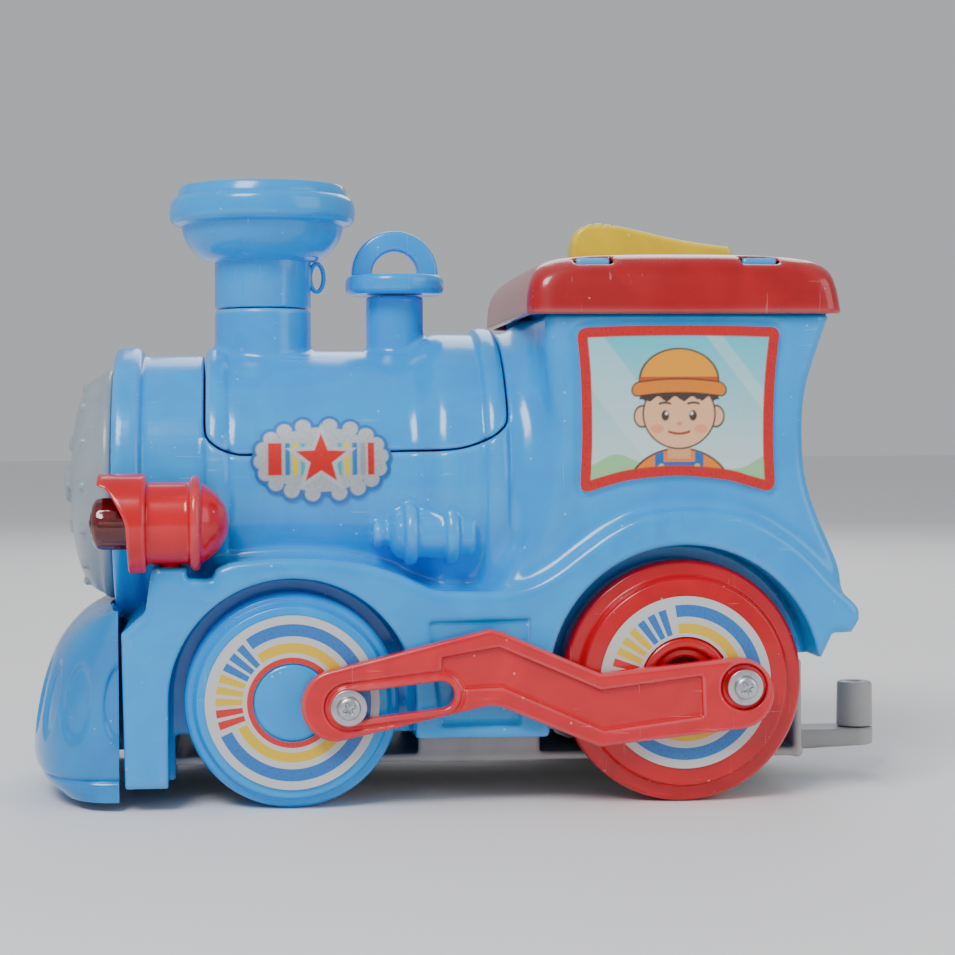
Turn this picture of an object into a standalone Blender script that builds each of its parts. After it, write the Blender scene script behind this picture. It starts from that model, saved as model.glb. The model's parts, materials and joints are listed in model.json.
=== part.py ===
"""Clockwork toy steam locomotive, built as separate pieces: hollow moulded body halves, a clip-on boiler
cover, funnel, whistle, roof, lamps, wheels with crank pins, side rods, and a spring motor inside.

Frame: metres, +Z up, the front of the engine toward -X. The origin is on the floor, under the middle of the
overall length and on the centre plane. Lengths along the engine are measured from the front axle or from the
rear axle, whichever the piece belongs to."""

from math import asin, atan2, cos, hypot, pi, radians, sin, sqrt

import bmesh
import bpy
from mathutils import Matrix, Vector

MM = 0.001

# Overall layout
FRONT_OVERHANG = 64.6 * MM  # nose of the cowcatcher ahead of the front axle
WHEELBASE = 95.2 * MM
REAR_OVERHANG = 59.8 * MM  # back of the coupling post behind the rear axle
BODY_HALF_WIDTH = 46.0 * MM  # side skirts and fenders
CAB_HALF_WIDTH = 42.5 * MM
ROOF_HALF_WIDTH = 45.0 * MM
WALL = 2.0 * MM  # every moulded shell
GAP = 0.3 * MM  # between pieces that touch
CLEAR = 0.3 * MM  # radial, between a pin and its hole

# Running gear
FRONT_WHEEL_R = 26.0 * MM
REAR_WHEEL_R = 29.6 * MM
AXLE_R = 2.0 * MM
WHEEL_FACE_Y = 45.0 * MM
WHEEL_BACK_Y = 34.0 * MM
ARCH_CLEARANCE = 3.6 * MM  # between a tread and its wheel arch
WELL_DEPTH_Y = 32.0 * MM  # outer face of the wheel well's inner wall
CRANK_R = 13.2 * MM
CRANK_DROP = 0.7 * MM  # the pins' height below their axles at rest
PIN_R = 2.2 * MM
LABEL_T = 0.4 * MM
WASHER_R = 4.3 * MM
WASHER_T = 0.9 * MM
SCREW_HEAD_R = 2.9 * MM
SCREW_HEAD_T = 1.7 * MM

# Side rods
ROD_INNER_Y = 46.3 * MM
ROD_THICKNESS = 4.4 * MM
ROD_RECESS = 1.1 * MM
ROD_END_R = 8.6 * MM
SLOT_HALF_HEIGHT = 3.3 * MM

# Boiler
BOILER_Z = 77.5 * MM
COVERED_R = 34.1 * MM  # the length under the top cover
BARREL_DROP = 1.3 * MM  # how much thinner the boiler is ahead of the cover
FLARE_RISE = 4.3 * MM  # and how much thicker behind the flare
RING_RISE = 1.6 * MM
FRONT_RING_RISE = 2.2 * MM
SEAM_RISE = 8.5 * MM  # height of the cover's edge above the boiler axis

# Motor
MODULE = 1.25 * MM
GREAT_TEETH = 36
SECOND_PINION_TEETH = 8
SECOND_TEETH = 32
AXLE_PINION_TEETH = 10
MESH_SLACK = 0.2 * MM
ARBOR_R = 2.2 * MM
PLATE_Y = 12.5 * MM
PLATE_T = 1.5 * MM
KEY_AHEAD = 29.2 * MM  # winding arbor ahead of the rear axle
KEY_RISE = 38.4 * MM  # and above it

LENGTH = FRONT_OVERHANG + WHEELBASE + REAR_OVERHANG
FRONT_X = FRONT_OVERHANG - LENGTH / 2
REAR_X = FRONT_X + WHEELBASE
FRONT_AXLE = (FRONT_X, FRONT_WHEEL_R)
REAR_AXLE = (REAR_X, REAR_WHEEL_R)
CRANK = (sqrt(CRANK_R**2 - CRANK_DROP**2), -CRANK_DROP)
FRONT_PIN = (FRONT_X + CRANK[0], FRONT_WHEEL_R + CRANK[1])
REAR_PIN = (REAR_X + CRANK[0], REAR_WHEEL_R + CRANK[1])
ROD_OUTER_Y = ROD_INNER_Y + ROD_THICKNESS
BARREL_R = COVERED_R - BARREL_DROP
FRONT_RING_R = BARREL_R + FRONT_RING_RISE
FLARED_R = COVERED_R + FLARE_RISE

COLOURS = {
    "blue_plastic": ((0.03, 0.43, 0.85, 1), 0.25, 0),
    "red_plastic": ((0.62, 0.02, 0.03, 1), 0.25, 0),
    "roof_red": ((0.42, 0.01, 0.02, 1), 0.3, 0),
    "grey_plastic": ((0.42, 0.4, 0.38, 1), 0.45, 0),
    "door_grey": ((0.24, 0.3, 0.35, 1), 0.4, 0),
    "yellow_plastic": ((0.75, 0.6, 0.02, 1), 0.3, 0),
    "lens_red": ((0.25, 0.01, 0.02, 1), 0.1, 0),
    "label_foil": ((0.55, 0.58, 0.6, 1), 0.35, 0),
    "label_paper": ((0.5, 0.5, 0.52, 1), 0.5, 0),
    "zinc_steel": ((0.5, 0.5, 0.52, 1), 0.35, 1),
    "spring_steel": ((0.12, 0.13, 0.16, 1), 0.3, 1),
    "nylon_white": ((0.8, 0.78, 0.72, 1), 0.5, 0),
}


def from_front(x, z):
    """A point x mm behind the front axle and z mm above the floor."""
    return (FRONT_X + x * MM, z * MM)


def from_rear(x, z):
    """A point x mm behind the rear axle and z mm above the floor."""
    return (REAR_X + x * MM, z * MM)


def material(name):
    """The Principled material of that name, made on first use."""
    found = bpy.data.materials.get(name)
    if found:
        return found
    colour, roughness, metallic = COLOURS[name]
    made = bpy.data.materials.new(name)
    made.use_nodes = True
    shader = made.node_tree.nodes["Principled BSDF"]
    shader.inputs["Base Color"].default_value = colour
    shader.inputs["Roughness"].default_value = roughness
    shader.inputs["Metallic"].default_value = metallic
    return made


def solid(name, points, faces, finish=None):
    """An object from points and faces, its normals made to face out. Without a finish it is a hidden tool."""
    mesh = bpy.data.meshes.new(name)
    mesh.from_pydata([tuple(p) for p in points], [], faces)
    build = bmesh.new()
    build.from_mesh(mesh)
    bmesh.ops.remove_doubles(build, verts=build.verts, dist=1e-7)
    bmesh.ops.recalc_face_normals(build, faces=build.faces)
    build.to_mesh(mesh)
    build.free()
    made = bpy.data.objects.new(name, mesh)
    bpy.context.scene.collection.objects.link(made)
    if finish:
        mesh.materials.append(material(finish))
        mesh.shade_smooth()
        mesh.set_sharp_from_angle(angle=radians(35))
    else:
        made.hide_render = True
        made.display_type = "WIRE"
    return made


def combine(operation, target, tools, solver="EXACT"):
    """Adds one Boolean to the target for each tool, and hides the tools."""
    for tool in tools:
        tool.hide_render = True
        tool.display_type = "WIRE"
        modifier = target.modifiers.new(operation.lower(), "BOOLEAN")
        modifier.operation = operation
        modifier.object = tool
        modifier.solver = solver
    return target


def cut(target, *tools, solver="EXACT"):
    return combine("DIFFERENCE", target, tools, solver)


def join(target, *tools):
    return combine("UNION", target, tools)


def settled(source, name, finish):
    """A new object that holds the source's shape with its modifiers worked out."""
    graph = bpy.context.evaluated_depsgraph_get()
    mesh = bpy.data.meshes.new_from_object(source.evaluated_get(graph))
    mesh.name = name
    made = bpy.data.objects.new(name, mesh)
    bpy.context.scene.collection.objects.link(made)
    mesh.materials.clear()
    mesh.materials.append(material(finish))
    source.hide_render = True
    source.display_type = "WIRE"
    return made


def mirrored(source, name):
    """The other side's copy of a piece, across the centre plane, with its modifiers worked out."""
    graph = bpy.context.evaluated_depsgraph_get()
    mesh = bpy.data.meshes.new_from_object(source.evaluated_get(graph))
    mesh.name = name
    mesh.transform(Matrix.Scale(-1, 4, (0, 1, 0)))
    mesh.flip_normals()
    made = bpy.data.objects.new(name, mesh)
    bpy.context.scene.collection.objects.link(made)
    return made


def circle(centre, radius, steps=24, start=0.0, end=2 * pi):
    """Points round a circle in the XZ plane; a whole turn leaves the last point out."""
    whole = abs(end - start) > 2 * pi - 1e-6
    count = steps if whole else steps + 1
    turns = [start + (end - start) * i / steps for i in range(count)]
    return [(centre[0] + radius * cos(a), centre[1] + radius * sin(a)) for a in turns]


def prism(name, outline, low_y, high_y, finish=None):
    """An outline in the XZ plane carried along Y."""
    n = len(outline)
    points = [(x, y, z) for y in (low_y, high_y) for x, z in outline]
    sides = [(i, (i + 1) % n, n + (i + 1) % n, n + i) for i in range(n)]
    return solid(name, points, [*sides, tuple(range(n)), tuple(range(n, 2 * n))], finish)


def block(name, low, high, finish=None):
    outline = [(low[0], low[2]), (high[0], low[2]), (high[0], high[2]), (low[0], high[2])]
    return prism(name, outline, low[1], high[1], finish)


def turned(name, profile, axis, centre, steps=24, finish=None):
    """A profile of (distance along the axis, radius) turned about an axis through the centre. It starts and
    ends on the axis, or goes all the way round a section that stays clear of the axis."""
    ring = profile[0][1] > 0
    frames = {
        "X": (Vector((1, 0, 0)), Vector((0, 1, 0)), Vector((0, 0, 1))),
        "Y": (Vector((0, 1, 0)), Vector((0, 0, 1)), Vector((1, 0, 0))),
        "Z": (Vector((0, 0, 1)), Vector((1, 0, 0)), Vector((0, 1, 0))),
    }
    along, across, up = frames[axis]
    origin = Vector(centre)
    points = []
    for distance, radius in profile:
        for step in range(steps):
            turn = 2 * pi * step / steps
            points.append(origin + along * distance + (across * cos(turn) + up * sin(turn)) * radius)
    rows = len(profile)
    faces = []
    for row in range(rows if ring else rows - 1):
        low, high = row * steps, (row + 1) % rows * steps
        for i in range(steps):
            j = (i + 1) % steps
            faces.append((low + i, low + j, high + j, high + i))
    mesh_object = solid(name, points, faces, finish)
    build = bmesh.new()
    build.from_mesh(mesh_object.data)
    bmesh.ops.dissolve_degenerate(build, edges=build.edges, dist=1e-7)
    bmesh.ops.recalc_face_normals(build, faces=build.faces)
    build.to_mesh(mesh_object.data)
    build.free()
    return mesh_object


def rod_along_y(name, centre, radius, low_y, high_y, steps=16, finish=None):
    return prism(name, circle(centre, radius, steps), low_y, high_y, finish)


def loft(name, rings, finish=None):
    """Closed rings of equal point count joined in turn, with both ends closed."""
    n = len(rings[0])
    points = [p for ring in rings for p in ring]
    faces = [
        (k * n + i, k * n + (i + 1) % n, (k + 1) * n + (i + 1) % n, (k + 1) * n + i)
        for k in range(len(rings) - 1)
        for i in range(n)
    ]
    last = (len(rings) - 1) * n
    return solid(name, points, [*faces, tuple(range(n)), tuple(range(last, last + n))], finish)


def inset(outline, distance):
    """The outline moved inwards by a distance, corner by corner."""
    area = sum(a[0] * b[1] - b[0] * a[1] for a, b in zip(outline, outline[1:] + outline[:1]))
    inward = 1 if area > 0 else -1
    moved = []
    for i, corner in enumerate(outline):
        before, after = outline[i - 1], outline[(i + 1) % len(outline)]
        one = (corner[0] - before[0], corner[1] - before[1])
        two = (after[0] - corner[0], after[1] - corner[1])
        one = (-one[1] / hypot(*one) * inward, one[0] / hypot(*one) * inward)
        two = (-two[1] / hypot(*two) * inward, two[0] / hypot(*two) * inward)
        scale = distance / (1 + one[0] * two[0] + one[1] * two[1])
        moved.append((corner[0] + (one[0] + two[0]) * scale, corner[1] + (one[1] + two[1]) * scale))
    return moved


def hull(points):
    """The convex outline round some points, counter-clockwise."""
    ordered = sorted(points)
    lines = []
    for run in (ordered, ordered[::-1]):
        line = []
        for p in run:
            while len(line) > 1 and (
                (line[-1][0] - line[-2][0]) * (p[1] - line[-2][1])
                <= (line[-1][1] - line[-2][1]) * (p[0] - line[-2][0])
            ):
                line.pop()
            line.append(p)
        lines += line[:-1]
    return lines


def hang(joint_name, pivot, *pieces):
    """Parents the pieces to an empty on their joint's axis, and moves their origins there."""
    joint = bpy.data.objects.get(joint_name)
    if not joint:
        joint = bpy.data.objects.new(joint_name, None)
        bpy.context.scene.collection.objects.link(joint)
        joint.location = pivot
    for piece in pieces:
        piece.data.transform(Matrix.Translation(-Vector(pivot)))
        piece.parent = joint


# --- moulded body ---------------------------------------------------------------------------------

FRONT_ARCH_R = FRONT_WHEEL_R + ARCH_CLEARANCE
REAR_ARCH_R = REAR_WHEEL_R + ARCH_CLEARANCE
FRONT_CROWN_Z = FRONT_WHEEL_R + FRONT_ARCH_R + 5.0 * MM  # top of the front fender
REAR_CROWN_Z = REAR_WHEEL_R + REAR_ARCH_R + 8.4 * MM
SKIRT_LOW_Z = 16.7 * MM
WELL_LOW_Z = 15.2 * MM  # the wheel wells' inner walls hang below the skirts
ROOF_LOW_Z = 118.8 * MM
CAB_TOP_Z = ROOF_LOW_Z - GAP
COVER_FRONT_X = FRONT_X - 20.9 * MM
COVER_BACK_X = REAR_X - 41.5 * MM
HOOP_T = 6.1 * MM  # length of the hoop at each end of the cover
FLARE_FRONT_X = REAR_X - 63.6 * MM
FLARE_BACK_X = REAR_X - 56.8 * MM
BOILER_BACK_X = REAR_X - 32.0 * MM
BOILER_FRONT_X = FRONT_X - 43.5 * MM
DOOR_R = BARREL_R - 3.4 * MM
DOOR_HOLE_R = DOOR_R - 2.4 * MM
TURN_STEPS = 32
KEY_AXIS = (REAR_X - KEY_AHEAD, REAR_WHEEL_R + KEY_RISE)
KEY_HOLE_R = 3.4 * MM


def covered_profile():
    """Outside radius along the length that the top cover spans, from hoop to hoop."""
    return [
        (COVER_FRONT_X, COVERED_R + RING_RISE / 2),
        (COVER_FRONT_X + HOOP_T, COVERED_R + RING_RISE / 2),
        (COVER_FRONT_X + HOOP_T, COVERED_R),
        (FLARE_FRONT_X, COVERED_R),
        (FLARE_BACK_X, FLARED_R),
        (COVER_BACK_X - HOOP_T, FLARED_R),
        (COVER_BACK_X - HOOP_T, FLARED_R + RING_RISE),
        (COVER_BACK_X, FLARED_R + RING_RISE),
    ]


def boiler_profile(inside=0.0):
    """Radius along the boiler, as (x, radius), with its rings and the step up to the wide rear length."""
    outside = [
        (BOILER_FRONT_X, FRONT_RING_R),
        (FRONT_X - 36.3 * MM, FRONT_RING_R),
        (FRONT_X - 36.3 * MM, BARREL_R),
        (COVER_FRONT_X, BARREL_R),
        *covered_profile(),
        (COVER_BACK_X, FLARED_R),
        (BOILER_BACK_X, FLARED_R),
    ]
    if not inside:
        return [(BOILER_FRONT_X, 0), *outside, (BOILER_BACK_X, 0)]
    plain = [
        (BOILER_FRONT_X + inside, BARREL_R - inside),
        (COVER_FRONT_X + HOOP_T, BARREL_R - inside),
        (COVER_FRONT_X + HOOP_T, COVERED_R - inside),
        (FLARE_FRONT_X, COVERED_R - inside),
        (FLARE_BACK_X, FLARED_R - inside),
        (BOILER_BACK_X + 5 * inside, FLARED_R - inside),
    ]
    return [(BOILER_FRONT_X + inside, 0), *plain, (BOILER_BACK_X + 5 * inside, 0)]


def front_fender(x, below):
    """A point x mm behind the front axle and so many mm below the front fender's crown."""
    return (FRONT_X + x * MM, FRONT_CROWN_Z - below * MM)


def rear_fender(x, below):
    """A point x mm behind the rear axle and so many mm below the rear fender's crown."""
    return (REAR_X + x * MM, REAR_CROWN_Z - below * MM)


def skirt_outline():
    """Side outline of the frame plates and fenders, counter-clockwise, with the wheel arches not yet cut."""
    leg = [from_front(-28.3, 5.5), from_front(-28.3, 16.7)]
    bottom = [(REAR_X + 28 * MM, SKIRT_LOW_Z), (REAR_X + 31 * MM, 34.9 * MM)]
    tail = [from_rear(*p) for p in ((33.6, 34.9), (36.5, 41.0), (41.2, 41.0), (43.3, 44.6), (42.2, 47.8))]
    crown = ((37.1, 19.6), (32.0, 13.8), (27.0, 8.7), (18.3, 3.0), (9.5, 0.5), (-0.5, 0), (-10.5, 1.3),
             (-17.9, 4.3), (-25.4, 9.6), (-31.6, 14.6), (-37.8, 18.2), (-45.0, 19.6), (-55.0, 19.4))
    front = ((32.0, 7.2), (25.3, 4.6), (17.4, 2.0), (8.2, 0.6), (-0.9, 0), (-9.0, 0.4), (-14.8, 1.1),
             (-17.9, 2.3), (-19.1, 4.7), (-24.8, 4.7), (-24.8, 2.0), (-33.3, 2.0), (-34.9, 12.7),
             (-40.9, 17.6))
    return [
        *leg,
        *bottom,
        *tail,
        *[rear_fender(*p) for p in crown],
        *[front_fender(*p) for p in front],
        from_front(-40.1, 5.5),
    ]


def cab_outline(top_z):
    """Side outline of the cab, counter-clockwise: both ends draw in at the waist and spread at the foot."""
    rear = ((36.0, 45.0), (39.2, 51.5), (39.0, 57.3), (33.7, 70.0), (30.7, 78.7), (29.9, 89.7), (30.3, 98.9))
    ahead = ((-33.0, 103.0), (-31.4, 92.0), (-31.6, 84.0), (-33.1, 76.0), (-37.6, 63.2), (-45.0, 54.0))
    return [
        from_rear(-45.0, 45.0),
        *[from_rear(*p) for p in rear],
        from_rear(32.5, 107.0),
        (REAR_X + 37.0 * MM, CAB_TOP_Z - 2 * MM),
        (REAR_X + 37.0 * MM, top_z),
        (REAR_X - 33.6 * MM, top_z),
        *[from_rear(*p) for p in ahead],
    ]


def shelf_outline():
    """The raised strip where the front fender's top runs up into the boiler."""
    high = ((48, 3.8), (34, 3.8), (26, 2.0), (18.5, -1.2), (9, -3.7), (-1.5, -4.6), (-10, -3.8), (-16, -2.4))
    return [from_front(-16, 45.0), from_front(48, 45.0), *[front_fender(*p) for p in high]]


def well_outline(axle, radius):
    """A wheel arch: half a circle over the axle, with straight sides down past the skirt's lower edge."""
    sides = [(axle[0] - radius, -5 * MM), (axle[0] + radius, -5 * MM)]
    return [*sides, *circle(axle, radius, 20, 0, pi)]


def pump(side):
    """The tank moulded on each side of the boiler, with its knob, dome and two hoops."""
    dome = ((-12.8, 0), (-12.8, 3.3), (-10.3, 3.3), (-9, 5.2), (-5.5, 6.3))
    hoops = ((-5.5, 7.8), (-2.0, 7.8), (-2.0, 6.3), (4.6, 6.3), (4.6, 7.7), (8.4, 7.7), (8.4, 6.2))
    profile = [(x * MM, r * MM) for x, r in (*dome, *hoops, (12.4, 5.6), (12.4, 0))]
    centre = (FRONT_X + 33.0 * MM, side * 32.5 * MM, 65.6 * MM)
    return turned("pump", profile, "X", centre, 16)


def body_shells():
    tall = CAB_TOP_Z + 10 * MM
    axles = (FRONT_AXLE, REAR_AXLE)
    door_hole = [(-5 * MM, 0), (-5 * MM, DOOR_HOLE_R), (5 * MM, DOOR_HOLE_R), (5 * MM, 0)]
    body = turned("body", boiler_profile(), "X", (0, 0, BOILER_Z), TURN_STEPS)
    join(
        body,
        prism("cab", cab_outline(CAB_TOP_Z), -CAB_HALF_WIDTH, CAB_HALF_WIDTH),
        prism("skirt", skirt_outline(), -BODY_HALF_WIDTH, BODY_HALF_WIDTH),
        prism("shelf", shelf_outline(), -BODY_HALF_WIDTH + 6 * MM, BODY_HALF_WIDTH - 6 * MM),
        pump(-1),
        pump(1),
    )
    skirt_inside = [
        (x, z - 2 * WALL if z < SKIRT_LOW_Z + 1.5 * WALL else z) for x, z in inset(skirt_outline(), WALL)
    ]
    cut(
        body,
        turned("boiler_inside", boiler_profile(WALL), "X", (0, 0, BOILER_Z), TURN_STEPS),
        prism("cab_inside", inset(cab_outline(tall), WALL), -CAB_HALF_WIDTH + WALL, CAB_HALF_WIDTH - WALL),
        prism("skirt_inside", skirt_inside, -BODY_HALF_WIDTH + WALL, BODY_HALF_WIDTH - WALL),
        block("leg_room", (FRONT_X - 38.0 * MM, -BODY_HALF_WIDTH + WALL, 0),
              (FRONT_X - 27.0 * MM, BODY_HALF_WIDTH - WALL, SKIRT_LOW_Z + 2 * WALL)),
    )
    for axle, radius in ((FRONT_AXLE, FRONT_ARCH_R), (REAR_AXLE, REAR_ARCH_R)):
        for side in (-1, 1):
            near, far = sorted((side * (WELL_DEPTH_Y - WALL), side * (BODY_HALF_WIDTH - WALL / 2)))
            deep, out = sorted((side * WELL_DEPTH_Y, side * (BODY_HALF_WIDTH + 5 * MM)))
            lining = prism("lining", well_outline(axle, radius + WALL), near, far)
            below = block("below", (-LENGTH, near - WALL, -10 * MM), (LENGTH, far + WALL, WELL_LOW_Z))
            join(body, cut(lining, below))
            cut(body, prism("pocket", well_outline(axle, radius), deep, out))
    for x in (FRONT_X - 17 * MM, REAR_X + 20 * MM):
        for side in (-1, 1):
            low_y, high_y = sorted((side * SCREW_TAB_IN_Y, side * (WELL_DEPTH_Y - WALL / 2)))
            low = (x - SCREW_TAB_X, low_y, CHASSIS_TOP_Z + SCREW_RECESS + GAP)
            high = (x + SCREW_TAB_X, high_y, SKIRT_LOW_Z + 3 * MM)
            join(body, block("screw_tab", low, high))
    cut(
        body,
        turned("door_hole", door_hole, "X", (BOILER_FRONT_X, 0, BOILER_Z), TURN_STEPS),
        block("cover_hole", (COVER_FRONT_X - GAP, -60 * MM, BOILER_Z + SEAM_RISE),
              (COVER_BACK_X + GAP, 60 * MM, BOILER_Z + 60 * MM)),
        *[rod_along_y("axle_hole", axle, AXLE_R + 3 * CLEAR, -50 * MM, 50 * MM) for axle in axles],
        rod_along_y("key_hole", KEY_AXIS, KEY_HOLE_R, 0, 60 * MM),
        *chassis_screw_holes(),
        solver="MANIFOLD",
    )
    for name, low_y, high_y in (("left", -GAP / 2, 100 * MM), ("right", -100 * MM, GAP / 2)):
        half = settled(body, f"body_shell_{name}", "blue_plastic")
        other = block("other_half", (-LENGTH, low_y, -10 * MM), (LENGTH, high_y, 200 * MM))
        cut(half, other, solver="MANIFOLD")


# --- chassis --------------------------------------------------------------------------------------

CHASSIS_LOW_Z = 8.7 * MM
CHASSIS_TOP_Z = CHASSIS_LOW_Z + WALL
CHASSIS_HALF_WIDTH = 29.0 * MM
CHASSIS_FRONT_X = FRONT_X - 37.5 * MM
CHASSIS_BACK_X = REAR_X + 33.1 * MM
BEARING_T = 4.0 * MM
SCREW_TAB_IN_Y = 18.0 * MM
SCREW_TAB_X = 5.0 * MM
SCREW_Y = 23.0 * MM
SHANK_R = 1.2 * MM
SCREW_RECESS = 2.0 * MM  # depth of the pocket that hides each screw head
DRAWBAR_HALF_WIDTH = 6.0 * MM
POST_R = 4.7 * MM
POST_X = LENGTH / 2 - POST_R
DRAWBAR_TOP_Z = 11.9 * MM
POST_TOP_Z = 23.9 * MM


def screw_places():
    return [(x, side * SCREW_Y) for x in (FRONT_X - 17 * MM, REAR_X + 20 * MM) for side in (-1, 1)]


def chassis_screw_holes():
    holes = []
    for x, y in screw_places():
        radius = SHANK_R + CLEAR
        profile = [(0, 0), (0, radius), (CHASSIS_LOW_Z + 12 * MM, radius), (CHASSIS_LOW_Z + 12 * MM, 0)]
        holes.append(turned("screw_hole", profile, "Z", (x, y, 0), 12))
    return holes


def chassis():
    plate = block("chassis_plate", (CHASSIS_FRONT_X, -CHASSIS_HALF_WIDTH, CHASSIS_LOW_Z),
                  (CHASSIS_BACK_X, CHASSIS_HALF_WIDTH, CHASSIS_TOP_Z), "grey_plastic")
    rear_wall = block("rear_wall", (CHASSIS_BACK_X - WALL, -CHASSIS_HALF_WIDTH, CHASSIS_LOW_Z),
                      (CHASSIS_BACK_X, CHASSIS_HALF_WIDTH, 33.0 * MM))
    bar_outline = [
        (CHASSIS_BACK_X - 8 * MM, CHASSIS_LOW_Z + WALL / 2),
        (CHASSIS_BACK_X - 8 * MM, 6.1 * MM),
        (POST_X + POST_R, 7.6 * MM),
        (POST_X + POST_R, DRAWBAR_TOP_Z),
        (CHASSIS_BACK_X - WALL / 2, DRAWBAR_TOP_Z),
    ]
    drawbar = prism("drawbar", bar_outline, -DRAWBAR_HALF_WIDTH, DRAWBAR_HALF_WIDTH)
    join(plate, rear_wall, drawbar)
    axles = (FRONT_AXLE, REAR_AXLE)
    for side in (-1, 1):
        low_y, high_y = sorted((side * (CHASSIS_HALF_WIDTH - WALL), side * CHASSIS_HALF_WIDTH))
        low = (FRONT_X + FRONT_ARCH_R + WALL, low_y, CHASSIS_LOW_Z)
        join(plate, block("flange", low, (REAR_X - REAR_ARCH_R, high_y, SKIRT_LOW_Z)))
        low_y, high_y = sorted((side * (CHASSIS_HALF_WIDTH - BEARING_T), side * CHASSIS_HALF_WIDTH))
        for axle in axles:
            low = (axle[0] - 5 * MM, low_y, CHASSIS_LOW_Z)
            join(plate, block("bearing", low, (axle[0] + 5 * MM, high_y, axle[1] + 5 * MM)))
    seat = CHASSIS_LOW_Z + SCREW_RECESS
    pocket_r = SCREW_HEAD_R + 2 * CLEAR
    for x, y in screw_places():
        boss_r = pocket_r + WALL
        boss_top = CHASSIS_TOP_Z + SCREW_RECESS
        profile = [(CHASSIS_LOW_Z + MM, 0), (CHASSIS_LOW_Z + MM, boss_r), (boss_top, boss_r), (boss_top, 0)]
        join(plate, turned("screw_boss", profile, "Z", (x, y, 0), 16))
    cut(
        plate,
        *[rod_along_y("bearing_hole", axle, AXLE_R + CLEAR, -50 * MM, 50 * MM) for axle in axles],
        *chassis_screw_holes(),
    )
    for x, y in screw_places():
        profile = [(0, 0), (0, pocket_r), (seat, pocket_r), (seat, 0)]
        cut(plate, turned("screw_pocket", profile, "Z", (x, y, 0), 16))
    top = POST_TOP_Z
    profile = [(DRAWBAR_TOP_Z + GAP, 0), (DRAWBAR_TOP_Z + GAP, POST_R), (top - 0.6 * MM, POST_R),
               (top, POST_R - 0.6 * MM), (top, 0)]
    turned("coupling_post", profile, "Z", (POST_X, 0, 0), 24, "grey_plastic")
    for number, (x, y) in enumerate(screw_places(), 1):
        head = seat - GAP
        profile = [(head - 1.3 * MM, 0), (head - 1.3 * MM, SCREW_HEAD_R - 0.8 * MM),
                   (head - 0.5 * MM, SCREW_HEAD_R), (head, SCREW_HEAD_R), (head, SHANK_R),
                   (head + 9 * MM, SHANK_R), (head + 9 * MM, 0)]
        turned(f"chassis_screw_{number}", profile, "Z", (x, y, 0), 12, "zinc_steel")


# --- front, boiler and roof fittings ----------------------------------------------------------------


def cowcatcher():
    """A bulging apron: each level is half of a squared ellipse from the frame plates round to the nose."""
    back_x, half_width, squareness, steps = FRONT_X - 41.4 * MM, 43.5 * MM, 2 / 2.7, 12
    tip = FRONT_OVERHANG - 41.4 * MM
    levels = [(z * MM, share * tip) for z, share in
              ((2.3, 0.70), (6.0, 0.90), (11.0, 1.0), (19.0, 0.985), (29.0, 0.89), (37.0, 0.76), (43.0, 0.58),
               (46.6, 0.36), (48.4, 0.08))]

    def level(z, reach, shrink, back):
        turns = [-pi / 2 + pi * i / steps for i in range(steps + 1)]
        ring = []
        for a in turns:
            across = (half_width - shrink) * abs(sin(a)) ** squareness
            ahead = max(reach - shrink, 0.2 * MM) * max(cos(a), 0) ** squareness
            ring.append((back_x - ahead, across if a > 0 else -across, z))
        if back == back_x:
            return ring
        return [*ring, (back, half_width - shrink, z), (back, shrink - half_width, z)]

    apron = loft("cowcatcher", [level(z, reach, 0, back_x) for z, reach in levels], "blue_plastic")
    hollow = [level(z, reach, WALL, back_x + 5 * MM) for z, reach in levels[1:-2]]
    hollow.insert(0, level(-5 * MM, levels[0][1], WALL, back_x + 5 * MM))
    rooms = ((BOILER_FRONT_X - 20 * MM, BOILER_FRONT_X + GAP, DOOR_R),
             (BOILER_FRONT_X - 2 * GAP, 0, FRONT_RING_R))
    for low_x, high_x, radius in rooms:
        profile = [(low_x, 0), (low_x, radius + 2 * GAP), (high_x, radius + 2 * GAP), (high_x, 0)]
        cut(apron, turned("boiler_room", profile, "X", (0, 0, BOILER_Z), TURN_STEPS))
    return cut(apron, loft("apron_inside", hollow))


def smokebox_door():
    back = BOILER_FRONT_X - GAP
    steps = ((2.9, DOOR_HOLE_R - CLEAR), (0, DOOR_HOLE_R - CLEAR), (0, DOOR_R), (-3.2, DOOR_R),
             (-5.4, DOOR_R - 1.4 * MM), (-6.6, DOOR_R - 4.4 * MM), (-8.2, 17.0 * MM), (-9.2, 7.0 * MM),
             (-10.2, 5.4 * MM),
             (-12.4, 5.2 * MM), (-13.4, 4.0 * MM))
    profile = [(2.9 * MM, 0), *[(x * MM, r) for x, r in steps], (-13.4 * MM, 0)]
    turned("smokebox_door", profile, "X", (back, 0, BOILER_Z), 24, "door_grey")


FUNNEL_X = FRONT_X - 5.8 * MM
WHISTLE_X = FRONT_X + 28.4 * MM
FUNNEL_TUBE_R = 12.45 * MM
WHISTLE_TUBE_R = 7.45 * MM
FUNNEL_SEAM_Z = 122.2 * MM
WHISTLE_SEAM_Z = 125.7 * MM


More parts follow.
